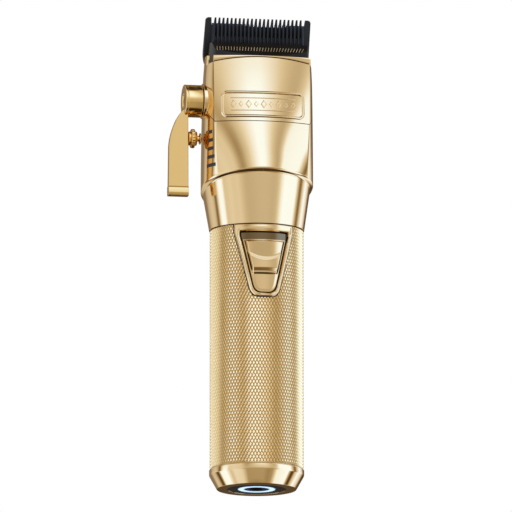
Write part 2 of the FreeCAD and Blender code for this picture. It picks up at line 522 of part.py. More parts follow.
# inner chassis: spigot inside the grip, motor cradle, tongue that carries the switch
chassis = tube(17.6, 15.7, 96.0, 119.0)
chassis = chassis.fuse([tube(17.6, 6.5, 116.9, 119.0), tube(18.5, 17.0, 112.2, 115.8), tube(15.9, 13.15, 118.9, 150.9)])
chassis = chassis.cut([box(-7, 7, -20, -8, 121, 149), box(-7, 7, 8, 20, 121, 149)])
tongue = cyl(18.0, 80.9, 111.0).common(box(-9.6, 9.6, -30, -15.25, 70, 120))
tongue = tongue.common(prism_y([(-11, 112), (11, 112), (11, 108), (4.9, 83.2), (3.4, 81.4), (-3.4, 81.4), (-4.9, 83.2), (-11, 108)], -30, 0))
chassis = chassis.fuse(tongue)
chassis = chassis.cut(box(-8.8, 8.8, -15.3, -13.0, 83.4, 115.5))
chassis = chassis.cut(box(-4.3, 4.3, -19, -12, 87.6, 101.6))
for sx in (-1, 1):
    chassis = chassis.cut(cyl(1.02, 146.3, 155, sx * 14.3, 0))
for x, z in screw_xy:
    chassis = chassis.cut(cyly(1.1, 8, 22, x, z))
chassis = chassis.cut(rounded_rect(9.4, 5.8, 2.4, REL_Z, 13.5, 30)).cut(box(-5.2, 5.2, 13.6, 19, 99.5, 123.5))
chassis = chassis.removeSplitter()
ch = sorted(chassis.Solids, key=lambda s: -s.Volume)
print("chassis pieces", [round(s.Volume, 1) for s in ch])
export("inner_chassis", ch[0])
hs = []
for x, z in screw_xy:
    hs.append(cyly(1.05, 11.8, 20.2, x, z).fuse(cyly(2.15, 20.0, 20.95, x, z)).cut(box(x - 1.4, x + 1.4, 20.55, 22, z - 0.3, z + 0.3)))
export("chassis_screws", *hs)

# control electronics
board = box(-8.4, 8.4, -14.9, -13.7, 84.0, 115.0)
board = board.fuse([box(-3.0, 3.0, -13.72, -13.05, 101.5, 107.5), box(-6.5, -4.5, -13.72, -13.1, 97.5, 100.0), box(4.2, 6.4, -13.72, -13.1, 109.0, 112.5)])
export("control_board", board)
switch = box(-3.9, 3.9, -17.3, -14.95, 88.4, 100.8).cut(box(-1.6, 1.6, -18, -16.0, 90.2, 98.9))
export("slide_switch", switch)
blk = cyl(15.68, 97.4, 99.4).cut(box(-9.0, 9.0, -20, -12.85, 80, 120)).cut(box(-6, 6, 13.0, 20, 80, 120))
blk = blk.fuse(cyl(6.0, 99.3, 101.2))
pin_xy = [(-6.0, 3.0), (0.0, -3.0), (6.0, 3.0)]
for x, y in pin_xy:
    blk = blk.cut(cyl(0.92, 90, 110, x, y))
export("contact_block", blk)
export("contact_pins", *[cyl(0.9, 94.75, 102.6, x, y) for x, y in pin_xy])
leads = []
for i, x in enumerate((-2.6, 0.0, 2.6)):
    leads.append(wire_sweep([(x, -11.9, 108.0), (x, -11.9, 114.0), (x * 0.9, -3.2, 115.5), (x * 0.9, -3.2, 119.0)], 0.45, 1.0))
export("motor_leads", *leads)

# ------------------------------------------------------------------ power switch
def v_outline(wt, z_top, z_side, wb, z_bot, rc):
    """V shaped outline: top corners, straight sides, then a rounded lower end."""
    pts = [(-wt, z_top), (-wt, z_side)]
    n = 8
    # lower left corner rounding by a quadratic curve
    a, b, c = (-wb - (wt - wb) * rc * 1.6 / (z_side - z_bot), z_bot + rc * 1.6), (-wb + 0.25, z_bot), (-wb + rc * 1.5, z_bot - 0.0)
    for i in range(n + 1):
        u = i / n
        pts.append(((1 - u) ** 2 * a[0] + 2 * u * (1 - u) * b[0] + u * u * c[0], (1 - u) ** 2 * a[1] + 2 * u * (1 - u) * b[1] + u * u * c[1]))
    pts += [(-x, z) for x, z in reversed(pts)]
    return pts


bez_out = v_outline(12.65, BEZEL_TOP_Z, 108.0, 5.7, BEZEL_BOT_Z, 2.3)
bez_rec = v_outline(10.2, 108.2, 106.6, 4.6, 81.7, 2.0)
bez_cut = v_outline(12.9, BEZEL_TOP_Z + 5, 108.05, 5.95, BEZEL_BOT_Z - 0.28, 2.3)
bezel = tube(BEZEL_R, BEZEL_IN_R, 70, 120).common(prism_y(bez_out, -30, -8))
bezel = bezel.cut(prism_y(bez_rec, -30, -8).cut(cyl(19.25, 60, 130)))
bezel = bezel.cut(box(-1.9, 1.9, -30, -10, 89.4, 98.8))
bezel = sorted(bezel.Solids, key=lambda s: -s.Volume)[0]
export("switch_bezel", bezel)

sl_out = v_outline(9.0, 104.8, 104.4, 4.15, 82.2, 1.9)
SL_R = 20.35
slider = tube(SL_R, 19.35, 70, 120).common(prism_y(sl_out, -30, -8))
ridge_prof = [(-19.8, 98.2), (-20.35, 98.2), (-21.65, 94.4), (-21.75, 93.6), (-20.35, 91.0), (-19.8, 91.0)]
ridge = prism_x(ridge_prof, -6.0, 6.0).common(cyl(21.75, 80, 110))
ridge = ridge.common(prism_y([(-6.2, 98.5), (6.2, 98.5), (4.9, 90.5), (-4.9, 90.5)], -30, 0))
slider = slider.fuse(ridge)
slider = slider.fuse(box(-1.4, 1.4, -19.6, -16.3, 91.6, 94.9))
slider = slider.removeSplitter()
export("switch_slider", slider)

# ------------------------------------------------------------------ battery release
rel_btn = rounded_rect(9.0, 5.0, 2.2, REL_Z, 17.2, 30).common(OUT)
flange = box(-4.9, 4.9, 16.2, 17.3, 117.4, 122.3)
arm2 = box(-2.0, 2.0, 16.2, 17.3, 104.2, 118.0)
hook = prism_x([(16.2, 104.2), (17.3, 104.2), (18.0, 105.0), (18.0, 106.2), (16.2, 106.2)], -2.0, 2.0)
rel_btn = rel_btn.common(box(-10, 10, 16.5, 30, 110, 130))
rel = fuse(rel_btn, flange, arm2, hook).cut(cyly(2.1, 15.0, 17.95, 0, REL_Z))
export("release_button", rel)
rs = coil(1.45, 0.2, 0.75, 3.0, V(0, 16.15, REL_Z), V(0, -1, 0))
bb = rs.BoundBox
print("release spring", round(bb.YMin, 2), round(bb.YMax, 2))
export("release_spring", rs)

# ------------------------------------------------------------------ battery grip
gs = tube(GRIP_R, SLEEVE_IN_R, CAP_H + 0.05, SEAM_Z - 0.2)
gs = gs.cut(prism_y(bez_cut, -30, -5))
gs = gs.cut(box(-2.6, 2.6, 16.5, 18.75, 103.4, 106.9))       # latch pocket
export("grip_sleeve", gs)
cap = revolve([(12.62, 0), (CAP_FOOT_R - 0.25, 0), (CAP_FOOT_R, 0.25), (CAP_R - 0.1, CAP_CONE_H - 0.1), (CAP_R, CAP_CONE_H + 0.2), (CAP_R, CAP_H - 0.4), (CAP_R - 0.4, CAP_H),
               (16.0, CAP_H), (16.0, 4.2), (12.62, 4.2)])
export("end_cap", cap)
export("cap_window", revolve([(8.05, 0.15), (12.55, 0.15), (12.55, 4.15), (8.05, 4.15)]))
export("light_ring", revolve([(5.3, 0.1), (8.0, 0.1), (8.0, 5.0), (5.3, 5.0)]))
export("charge_socket", revolve([(2.75, 0.2), (5.25, 0.2), (5.25, 9.4), (2.75, 9.4)]))
export("socket_contact", fuse(cyl(2.7, 8.3, 9.4), cyl(0.6, 9.4, 10.3)))
export("charge_board", cyl(15.8, 10.35, 11.6).fuse([box(-3, 3, 5.5, 10, 11.5, 13.2), box(-12, -8, -3, 3, 11.5, 12.8)]))
bt = revolve([(15.9, 4.3), (15.9, 8.5), (18.1, 8.5), (18.1, 78.0), (12.6, 79.0), (12.6, 94.0), (0, 94.0), (0, 92.6), (11.3, 92.6), (11.3, 77.6), (16.6, 76.4), (16.6, 10.0), (14.6, 10.0), (14.6, 4.3)])
for x, y in pin_xy:
    bt = bt.cut(cyl(2.05, 93.5, 96, x, y))
export("battery_tube", bt)
export("battery_cell", fuse(cyl(CELL_R, 18.0, 18.0 + CELL_L), cyl(3.0, 18.0 + CELL_L, 18.9 + CELL_L)))
holder = tube(16.45, CELL_R + 0.1, 15.4, 21.0).fuse([tube(16.45, CELL_R + 0.1, 66.0, 71.0)] + [box(-1.5, 1.5, 12.6, 16.3, 20.5, 66.5), box(-1.5, 1.5, -16.3, -12.6, 20.5, 66.5)])
export("cell_holder", holder)
export("cell_tabs", fuse(box(-2.5, 2.5, -8, 8, 84.0, 84.35), box(-2.5, 2.5, 7.7, 8.05, 84.0, 92.4)), fuse(box(-2.5, 2.5, -8, 8, 17.55, 17.9), box(-2.5, 2.5, 8.0, 8.4, 13.4, 17.9)))
export("battery_contacts", *[cyl(2.0, 93.55, 94.35, x, y) for x, y in pin_xy])
print("done")
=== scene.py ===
import math

import bmesh
import bpy
import numpy as np
from mathutils import Matrix, Vector


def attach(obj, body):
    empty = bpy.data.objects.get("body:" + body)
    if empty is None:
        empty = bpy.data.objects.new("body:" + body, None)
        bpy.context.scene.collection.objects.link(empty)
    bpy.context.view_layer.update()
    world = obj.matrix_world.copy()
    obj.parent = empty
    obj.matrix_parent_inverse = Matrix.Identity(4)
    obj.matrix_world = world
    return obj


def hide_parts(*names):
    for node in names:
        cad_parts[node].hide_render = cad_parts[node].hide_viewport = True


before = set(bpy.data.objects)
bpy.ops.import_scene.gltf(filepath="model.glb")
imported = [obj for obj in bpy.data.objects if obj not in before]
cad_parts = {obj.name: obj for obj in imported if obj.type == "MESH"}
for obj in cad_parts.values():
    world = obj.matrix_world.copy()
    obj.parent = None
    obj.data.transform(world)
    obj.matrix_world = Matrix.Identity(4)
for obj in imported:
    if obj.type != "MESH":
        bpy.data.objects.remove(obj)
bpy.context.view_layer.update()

scene = bpy.context.scene
MM = 0.001
rad = math.radians


# ---------------------------------------------------------------- materials
def mat_nodes(name):
    m = bpy.data.materials.new(name)
    m.use_nodes = True
    nt = m.node_tree
    for n in list(nt.nodes):
        nt.nodes.remove(n)
    out = nt.nodes.new("ShaderNodeOutputMaterial")
    bs = nt.nodes.new("ShaderNodeBsdfPrincipled")
    nt.links.new(bs.outputs[0], out.inputs[0])
    return m, nt, bs


def surface(name, col_a, col_b, metallic, r0, r1, scale, bump=0.0, bump_scale=900.0, stretch=(1, 1, 1), coat=0.0, detail=3.0):
    """Colour drifting between two tones, roughness drifting between two values, fine grain as bump."""
    m, nt, bs = mat_nodes(name)
    L = nt.links
    tc = nt.nodes.new("ShaderNodeTexCoord")
    mp = nt.nodes.new("ShaderNodeMapping")
    mp.inputs["Scale"].default_value = stretch
    L.new(tc.outputs["Object"], mp.inputs["Vector"])
    n1 = nt.nodes.new("ShaderNodeTexNoise")
    n1.inputs["Scale"].default_value = scale
    n1.inputs["Detail"].default_value = detail
    L.new(mp.outputs[0], n1.inputs["Vector"])
    mix = nt.nodes.new("ShaderNodeMix")
    mix.data_type = "RGBA"
    mix.inputs["A"].default_value = (*col_a, 1)
    mix.inputs["B"].default_value = (*col_b, 1)
    cr = nt.nodes.new("ShaderNodeMapRange")
    cr.inputs["From Min"].default_value = 0.35
    cr.inputs["From Max"].default_value = 0.65
    L.new(n1.outputs["Fac"], cr.inputs["Value"])
    L.new(cr.outputs["Result"], mix.inputs["Factor"])
    L.new(mix.outputs["Result"], bs.inputs["Base Color"])
    n2 = nt.nodes.new("ShaderNodeTexNoise")
    n2.inputs["Scale"].default_value = scale * 3.1
    n2.inputs["Detail"].default_value = 5.0
    L.new(mp.outputs[0], n2.inputs["Vector"])
    rr = nt.nodes.new("ShaderNodeMapRange")
    rr.inputs["From Min"].default_value = 0.3
    rr.inputs["From Max"].default_value = 0.7
    rr.inputs["To Min"].default_value = r0
    rr.inputs["To Max"].default_value = r1
    L.new(n2.outputs["Fac"], rr.inputs["Value"])
    L.new(rr.outputs["Result"], bs.inputs["Roughness"])
    bs.inputs["Metallic"].default_value = metallic
    if coat:
        bs.inputs["Coat Weight"].default_value = coat
        bs.inputs["Coat Roughness"].default_value = 0.05
    if bump:
        n3 = nt.nodes.new("ShaderNodeTexNoise")
        n3.inputs["Scale"].default_value = bump_scale
        n3.inputs["Detail"].default_value = 4.0
        L.new(mp.outputs[0], n3.inputs["Vector"])
        b = nt.nodes.new("ShaderNodeBump")
        b.inputs["Strength"].default_value = bump
        b.inputs["Distance"].default_value = 0.00004
        L.new(n3.outputs["Fac"], b.inputs["Height"])
        L.new(b.outputs[0], bs.inputs["Normal"])
    return m


G1, G2 = (0.84, 0.59, 0.272), (0.82, 0.57, 0.255)
M = {}
M["gold"] = surface("polished_gold", G1, G2, 1.0, 0.085, 0.125, 28, 0.035, 1400, (1, 1, 0.35))
M["mirror"] = surface("mirror_gold", (0.87, 0.62, 0.29), (0.85, 0.60, 0.27), 1.0, 0.03, 0.06, 30, 0.02, 1200)
M["badge"] = surface("badge_gold", (0.84, 0.59, 0.272), (0.81, 0.56, 0.25), 1.0, 0.06, 0.10, 60, 0.03, 1600)
M["knurl"] = surface("knurled_gold", (0.97, 0.715, 0.335), (0.94, 0.68, 0.30), 1.0, 0.20, 0.28, 22, 0.05, 1800)
M["cap"] = surface("cap_gold", (0.85, 0.60, 0.28), (0.83, 0.58, 0.26), 1.0, 0.035, 0.06, 35, 0.03, 1300, (1, 1, 3))
M["lever"] = surface("lever_gold", (0.85, 0.565, 0.205), (0.82, 0.54, 0.185), 1.0, 0.07, 0.12, 45, 0.05, 1500, (1, 1, 0.25))
M["knob"] = surface("knob_gold", (0.85, 0.50, 0.145), (0.80, 0.45, 0.11), 1.0, 0.07, 0.12, 90, 0.03, 1500)
M["slider"] = surface("slider_gold", (0.82, 0.57, 0.255), (0.79, 0.54, 0.235), 1.0, 0.06, 0.11, 60, 0.05, 1600, (1, 1, 0.3))
M["bezel"] = surface("bezel_gold", (0.85, 0.60, 0.27), (0.82, 0.57, 0.25), 1.0, 0.05, 0.09, 60, 0.03, 1500)
M["blade"] = surface("black_blade_coat", (0.012, 0.012, 0.012), (0.020, 0.020, 0.020), 0.1, 0.34, 0.46, 120, 0.25, 2600, (1, 1, 0.3))
M["black_plastic"] = surface("black_nylon", (0.018, 0.018, 0.020), (0.028, 0.028, 0.030), 0.0, 0.48, 0.60, 200, 0.35, 3000)
M["black_gloss"] = surface("black_gloss_window", (0.008, 0.009, 0.012), (0.014, 0.015, 0.018), 0.0, 0.22, 0.30, 90, 0.02, 2000)
M["ramp"] = surface("ramp_black_polish", (0.012, 0.010, 0.007), (0.020, 0.016, 0.010), 0.5, 0.16, 0.24, 60, 0.03, 1500)
# painted reflection: colour of the thin lines on the dark slope that stand in for the reflected teeth
M["comb"] = surface("comb_gold", (0.52, 0.38, 0.19), (0.40, 0.28, 0.13), 0.35, 0.35, 0.45, 90, 0.05, 1500)
M["black_ink"] = surface("black_filled_marks", (0.006, 0.006, 0.007), (0.012, 0.012, 0.013), 0.0, 0.32, 0.42, 300, 0.1, 3000)
M["white_nylon"] = surface("white_nylon", (0.74, 0.72, 0.66), (0.80, 0.78, 0.73), 0.0, 0.38, 0.48, 150, 0.2, 2500)
M["steel"] = surface("ground_steel", (0.50, 0.50, 0.51), (0.58, 0.58, 0.59), 1.0, 0.24, 0.36, 140, 0.2, 1800, (0.1, 1, 1))
M["bright_steel"] = surface("bright_steel", (0.66, 0.66, 0.67), (0.72, 0.72, 0.73), 1.0, 0.12, 0.2, 100, 0.05, 1800)
M["magnet"] = surface("sintered_magnet", (0.14, 0.14, 0.15), (0.2, 0.2, 0.21), 1.0, 0.38, 0.5, 160, 0.2, 2200)
M["board"] = surface("board_green", (0.012, 0.10, 0.045), (0.018, 0.14, 0.06), 0.0, 0.25, 0.4, 400, 0.15, 2500, coat=0.3)
M["contact"] = surface("contact_gold", (0.80, 0.56, 0.22), (0.85, 0.62, 0.28), 1.0, 0.14, 0.2, 200, 0.05, 1800)
M["lead"] = surface("lead_red", (0.42, 0.015, 0.012), (0.5, 0.03, 0.02), 0.0, 0.4, 0.5, 300, 0.1, 2500)
M["cell"] = surface("cell_wrap_blue", (0.03, 0.10, 0.30), (0.04, 0.14, 0.36), 0.0, 0.2, 0.3, 80, 0.05, 1200, coat=0.4)
M["screw"] = surface("screw_gold", (0.80, 0.57, 0.27), (0.84, 0.61, 0.3), 1.0, 0.12, 0.18, 150, 0.05, 1800)


def light_material():
    m, nt, bs = mat_nodes("light_ring_glow")
    L = nt.links
    tc = nt.nodes.new("ShaderNodeTexCoord")
    n = nt.nodes.new("ShaderNodeTexNoise")
    n.inputs["Scale"].default_value = 260
    L.new(tc.outputs["Object"], n.inputs["Vector"])
    ln = nt.nodes.new("ShaderNodeVectorMath")
    ln.operation = "LENGTH"
    sp = nt.nodes.new("ShaderNodeSeparateXYZ")
    cb = nt.nodes.new("ShaderNodeCombineXYZ")
    L.new(tc.outputs["Object"], sp.inputs[0])
    L.new(sp.outputs["X"], cb.inputs["X"])
    L.new(sp.outputs["Y"], cb.inputs["Y"])
    L.new(cb.outputs[0], ln.inputs[0])
    r = nt.nodes.new("ShaderNodeValToRGB")
    mr = nt.nodes.new("ShaderNodeMapRange")
    mr.inputs["From Min"].default_value = 0.0053
    mr.inputs["From Max"].default_value = 0.0080
    L.new(ln.outputs["Value"], mr.inputs["Value"])
    L.new(mr.outputs["Result"], r.inputs["Fac"])
    e = r.color_ramp.elements
    e[0].position, e[0].color = 0.0, (0.20, 0.40, 0.58, 1)
    e[1].position, e[1].color = 1.0, (0.24, 0.45, 0.62, 1)
    for p, c in ((0.28, (0.62, 0.80, 0.88, 1)), (0.72, (0.64, 0.82, 0.90, 1))):
        x = r.color_ramp.elements.new(p)
        x.color = c
    mx = nt.nodes.new("ShaderNodeMix")
    mx.data_type = "RGBA"
    mx.blend_type = "MULTIPLY"
    mx.inputs["Factor"].default_value = 0.12
    L.new(r.outputs["Color"], mx.inputs["A"])
    L.new(n.outputs["Color"], mx.inputs["B"])
    L.new(mx.outputs["Result"], bs.inputs["Emission Color"])
    L.new(mx.outputs["Result"], bs.inputs["Base Color"])
    bs.inputs["Specular IOR Level"].default_value = 0.15
    bs.inputs["Emission Strength"].default_value = 0.95
    bs.inputs["Roughness"].default_value = 0.35
    return m


M["light"] = light_material()
for key in ("black_gloss", "blade", "ramp"):
    for n in M[key].node_tree.nodes:
        if n.type == "BSDF_PRINCIPLED":
            n.inputs["Specular IOR Level"].default_value = 0.16 if key == "black_gloss" else 0.35


def paint_shade_by_radius(m, tone, stops):
    """Painted shade: faces sunk towards the grip's axis get a darker base colour; the tone follows the distance from
    the grip's axis (mm, 0 fully shaded to 1 unshaded).
    """
    nt = m.node_tree
    L = nt.links
    bs = [n for n in nt.nodes if n.type == "BSDF_PRINCIPLED"][0]
    old = bs.inputs["Base Color"].links[0].from_socket
    tc = nt.nodes.new("ShaderNodeTexCoord")
    sp = nt.nodes.new("ShaderNodeSeparateXYZ")
    cb = nt.nodes.new("ShaderNodeCombineXYZ")
    ln = nt.nodes.new("ShaderNodeVectorMath")
    ln.operation = "LENGTH"
    L.new(tc.outputs["Object"], sp.inputs[0])
    L.new(sp.outputs["X"], cb.inputs["X"])
    L.new(sp.outputs["Y"], cb.inputs["Y"])
    L.new(cb.outputs[0], ln.inputs[0])
    mr = nt.nodes.new("ShaderNodeMapRange")
    mr.inputs["From Min"].default_value = 0.018
    mr.inputs["From Max"].default_value = 0.022
    L.new(ln.outputs["Value"], mr.inputs["Value"])
    cr = nt.nodes.new("ShaderNodeValToRGB")
    e = cr.color_ramp.elements
    e[0].position, e[0].color = (stops[0][0] - 18) / 4, (*[stops[0][1]] * 3, 1)
    e[1].position, e[1].color = (stops[-1][0] - 18) / 4, (*[stops[-1][1]] * 3, 1)
    for r, v in stops[1:-1]:
        x = e.new((r - 18) / 4)
        x.color = (v, v, v, 1)
    L.new(mr.outputs["Result"], cr.inputs["Fac"])
    mx = nt.nodes.new("ShaderNodeMix")
    mx.data_type = "RGBA"
    mx.inputs["A"].default_value = (*tone, 1)
    L.new(cr.outputs["Color"], mx.inputs["Factor"])
    L.new(old, mx.inputs["B"])
    L.new(mx.outputs["Result"], bs.inputs["Base Color"])


# painted shade: the knurl's valleys, below 19.6 to 19.8 mm radius, get a darker brown base colour
paint_shade_by_radius(M["knurl"], (0.56, 0.36, 0.13), [(19.60, 0.0), (19.80, 1.0)])
# painted shade: the switch bezel's recess walls, between 19.3 and 19.85 mm radius, get a near-black base colour
paint_shade_by_radius(M["bezel"], (0.045, 0.024, 0.008), [(19.14, 1.0), (19.30, 0.0), (19.85, 0.0), (20.25, 1.0)])


# ---------------------------------------------------------------- mesh helpers
def make(name, verts, faces, mat, sharp=None, recalc=True, merge=None):
    me = bpy.data.meshes.new(name)
    me.from_pydata((np.asarray(verts, float) * MM).tolist(), [], [tuple(int(i) for i in f) for f in faces])
    bm = bmesh.new()
    bm.from_mesh(me)
    if merge:
        bmesh.ops.remove_doubles(bm, verts=bm.verts, dist=merge * MM)
    if recalc:
        bmesh.ops.recalc_face_normals(bm, faces=bm.faces)
    bm.to_mesh(me)
    bm.free()
    me.shade_smooth()
    if sharp:
        me.set_sharp_from_angle(angle=rad(sharp))
    o = bpy.data.objects.new(name, me)
    scene.collection.objects.link(o)
    if mat:
        o.data.materials.append(mat)
    return o


def grid_faces(R, C, closed_c=False, closed_r=False, off=0, flip=False):
    f = []
    for i in range(R if closed_r else R - 1):
        i2 = (i + 1) % R
        for j in range(C if closed_c else C - 1):
            j2 = (j + 1) % C
            q = (off + i * C + j, off + i * C + j2, off + i2 * C + j2, off + i2 * C + j)
            f.append(q[::-1] if flip else q)
    return f


def fillet(points, n=4):
    """[(a, b, radius)] closed outline with its corners rounded."""
    out = []
    N = len(points)
    for i in range(N):
        p0, p1, p2 = points[i - 1], points[i], points[(i + 1) % N]
        r = p1[2]
        a, b, c = Vector(p0[:2]), Vector(p1[:2]), Vector(p2[:2])
        u, w = (a - b), (c - b)
        lu, lw = u.length, w.length
        if r <= 0 or lu < 1e-6 or lw < 1e-6:
            out.append((b.x, b.y))
            continue
        u /= lu
        w /= lw
        ang = math.acos(max(-1, min(1, u.dot(w))))
        if ang > math.pi - 0.05:
            out.append((b.x, b.y))
            continue
        t = min(r / math.tan(ang / 2), lu * 0.49, lw * 0.49)
        rr = t * math.tan(ang / 2)
        h = (u + w).normalized()
        cen = b + h * (rr / math.sin(ang / 2))
        s, e = b + u * t - cen, b + w * t - cen
        a0 = math.atan2(s.y, s.x)
        da = math.atan2(e.y, e.x) - a0
        while da > math.pi:
            da -= 2 * math.pi
        while da < -math.pi:
            da += 2 * math.pi
        for k in range(n + 1):
            x = a0 + da * k / n
            out.append((cen.x + rr * math.cos(x), cen.y + rr * math.sin(x)))
    return out


def lathe(name, prof, mat, seg=192, axis="Z", origin=(0, 0, 0), sharp=35, wobble=None):
    """Closed (radius, height) outline turned about an axis through origin."""
    P = []
    for r, h in prof:
        for k in range(seg):
            a = 2 * math.pi * k / seg
            rr = r * (wobble(a, r, h) if wobble else 1.0)
            if axis == "Z":
                P.append((origin[0] + rr * math.cos(a), origin[1] + rr * math.sin(a), origin[2] + h))
            else:
                P.append((origin[0] + h, origin[1] + rr * math.cos(a), origin[2] + rr * math.sin(a)))
    return make(name, P, grid_faces(len(prof), seg, True, True), mat, sharp, merge=0.0005)


def extrude(name, outline, lo, hi, mat, plane="XZ", bevel=0.0, seg=3, sharp=40):
    """Outline in a plane, extruded along the third axis between lo and hi."""
    P = []
    for s in (lo, hi):
        for a, b in outline:
            P.append({"XZ": (a, s, b), "YZ": (s, a, b), "XY": (a, b, s)}[plane])
    n = len(outline)
    F = [tuple(range(n)), tuple(range(2 * n - 1, n - 1, -1))] + [(i, (i + 1) % n, n + (i + 1) % n, n + i) for i in range(n)]
    o = make(name, P, F, mat, sharp)
    if bevel:
        md = o.modifiers.new("bevel", "BEVEL")
        md.width = bevel * MM
        md.segments = seg
        md.limit_method = "ANGLE"
        md.angle_limit = rad(40)
        md.harden_normals = True
    return o


def boolean(o, cutters, op="DIFFERENCE"):
    for c in cutters:
        md = o.modifiers.new("b", "BOOLEAN")
        md.operation = op
        md.solver = "EXACT"
        md.object = c
    dg = bpy.context.evaluated_depsgraph_get()
    me = bpy.data.meshes.new_from_object(o.evaluated_get(dg))
    o.modifiers.clear()
    old = o.data
    o.data = me
    bpy.data.meshes.remove(old)
    return o


def drop(*objs):
    for o in objs:
        me = o.data
        bpy.data.objects.remove(o)
        if me.users == 0:
            bpy.data.meshes.remove(me)


def finish_mesh(o, mat, sharp=32):
    o.data.materials.clear()
    o.data.materials.append(mat)
    for p in o.data.polygons:
        p.material_index = 0
    o.data.shade_smooth()
    o.data.set_sharp_from_angle(angle=rad(sharp))


# ---------------------------------------------------------------- the head's outer form
SEAM_Z, TILT = 111.8, 0.25
PLATE_Z0, PLATE_Z1 = 156.3, 182.7
S_LIST = [
    (130.05, 0.25, 23.85, -22.7, 19.4, -13.9, 22.9, 2.35, -2.0),
    (138.0, 0.17, 23.8, -21.6, 19.75, -14.0, 22.0, 2.45, -2.0),
    (147.0, 0.09, 23.7, -20.0, 20.1, -13.9, 19.9, 2.55, -2.0),
    (156.3, 0.03, 23.6, -18.2, 20.4, -13.6, 17.3, 2.7, -2.0),
    (167.0, 0.0, 23.45, -16.3, 20.6, -12.9, 14.2, 2.8, -2.2),
    (177.0, 0.0, 23.2, -14.9, 20.75, -12.1, 11.6, 2.8, -2.4),
    (187.5, 0.0, 22.55, -13.7, 20.8, -11.3, 9.4, 2.8, -2.6),
]
NF, N1, N2 = 64, 14, 34


def hermite(xs, ys, x):
    xs, ys = list(xs), list(ys)
    n = len(xs)
    k = max(0, min(n - 2, sum(1 for v in xs[1:-1] if v <= x)))
    h = xs[k + 1] - xs[k]

    def slope(i):
        if i == 0:
            return (ys[1] - ys[0]) / (xs[1] - xs[0])
        if i == n - 1:
            return (ys[-1] - ys[-2]) / (xs[-1] - xs[-2])
        return (ys[i + 1] - ys[i - 1]) / (xs[i + 1] - xs[i - 1])
    t = (x - xs[k]) / h
    m0, m1 = slope(k) * h, slope(k + 1) * h
    return ((2 * t ** 3 - 3 * t * t + 1) * ys[k] + (t ** 3 - 2 * t * t + t) * m0 + (-2 * t ** 3 + 3 * t * t) * ys[k + 1] + (t ** 3 - t * t) * m1)


def params(z0):
    zs = [s[0] for s in S_LIST]
    return [hermite(zs, [s[i] for s in S_LIST], z0) for i in range(1, 9)]


def creased(z0, d=0.0):
    tilt, W, yf, xe, ye, yb, n, ym = params(z0)
    W, yf, xe, ye, yb = W - d, yf + d, xe - d * 0.9, ye + d, yb - d
    R = (xe * xe + (ye - yf) ** 2) / (2 * (ye - yf))
    half = math.asin(xe / R)
    pts = []
    for i in range(NF):
        a = -half + 2 * half * i / NF
        pts.append((R * math.sin(a), yf + R - R * math.cos(a)))
    side = []
    for i in range(N1):
        u = i / N1
        side.append((xe + (W - xe) * math.sin(u * math.pi / 2), ye + (ym - ye) * u ** 1.15))
    for i in range(N2):
        a = math.pi / 2 * i / N2
        side.append((W * abs(math.cos(a)) ** (2 / n), ym + (yb - ym) * abs(math.sin(a)) ** (2 / n)))
    pts += side + [(0.0, yb)] + [(-x, y) for x, y in reversed(side)][:-1]
    return [(x, y, z0 - tilt * y) for x, y in pts]


def smooth(z0, tilt, W, yf, yb, n, te=rad(38.0)):
    ts = [-math.pi + te + (math.pi - 2 * te) * i / NF for i in range(NF)]
    ts += [-te + te * i / N1 for i in range(N1)]
    ts += [math.pi / 2 * i / N2 for i in range(N2)]
    ts += [math.pi / 2]
    ts += [math.pi - math.pi / 2 * i / N2 for i in reversed(range(N2))]
    ts += [math.pi + te * i / N1 for i in range(1, N1)]
    pts = []
    for t in ts:
        c, s = math.cos(t), math.sin(t)
        yc, dd = (yf + yb) / 2, (yb - yf) / 2
        x, y = W * math.copysign(abs(c) ** (2 / n), c), yc + dd * math.copysign(abs(s) ** (2 / n), s)
        pts.append((x, y, z0 - tilt * y))
    return pts


def head_rows(d=0.0):
    def c1(e):
        return np.array(smooth(128.05, TILT, 22.75 - e, -21.5 + e, 22.4 - e, 2.12))

    def s0(e):
        return np.array(creased(130.05, e))
    C0 = np.array(smooth(SEAM_Z, 0.0, 20.3 - d, -(20.3 - d), 20.3 - d, 2.0))
    C1 = c1(d)
    rows = []
    for t in (0, 0.012, 0.12, 0.25, 0.38, 0.5, 0.62, 0.75, 0.88, 0.975, 1.0):
        rows.append(C0 * (1 - t) + C1 * t)
    # a fine groove, then the housing's rolled lower edge
    for t, e in ((0.05, 0.22), (0.14, 0.42), (0.26, 0.46), (0.36, 0.32), (0.46, 0.06), (0.56, -0.12), (0.68, -0.20), (0.80, -0.20), (0.90, -0.13), (0.97, -0.04)):
        e = d + (e if d == 0 else 0.0)
        rows.append(c1(e) * (1 - t) + s0(e) * t)
    zz = [130.05, 130.3, 130.9, 132.0] + list(np.linspace(133.0, 187.5, 62))
    rows += [np.array(creased(z, d)) for z in zz]
    return rows


def front_y(x, z):
    """Outer surface of the head's front at x, z (above the shoulder)."""
    z0 = z
    for _ in range(6):
        tilt, W, yf, xe, ye, yb, n, ym = params(z0)
        R = (xe * xe + (ye - yf) ** 2) / (2 * (ye - yf))
        y = yf + R - math.sqrt(max(R * R - x * x, 0))
        z0 = z + tilt * y
    return y


def head_shell(name, d=1.7):
    A, B = head_rows(0.0), head_rows(d)
    C = A[0].shape[0]
    rows = A + B[::-1]
    return make(name, np.concatenate(rows), grid_faces(len(rows), C, True, True), None)


BLADE_A = rad(18.0)
TIP = (-3.9, 203.2)
DV = Vector((0, math.sin(BLADE_A), -math.cos(BLADE_A)))
NV = Vector((0, math.cos(BLADE_A), math.sin(BLADE_A)))


def bp(x, s, t):
    v = Vector((x, TIP[0], TIP[1])) + DV * s + NV * t
    return (v.x, v.y, v.z)


def blade_prism(name, outline_st, x0, x1):
    n = len(outline_st)
    P = [bp(x0, s, t) for s, t in outline_st] + [bp(x1, s, t) for s, t in outline_st]
    F = [tuple(range(n)), tuple(range(2 * n - 1, n - 1, -1))] + [(i, (i + 1) % n, n + (i + 1) % n, n + i) for i in range(n)]
    return make(name, P, F, None)


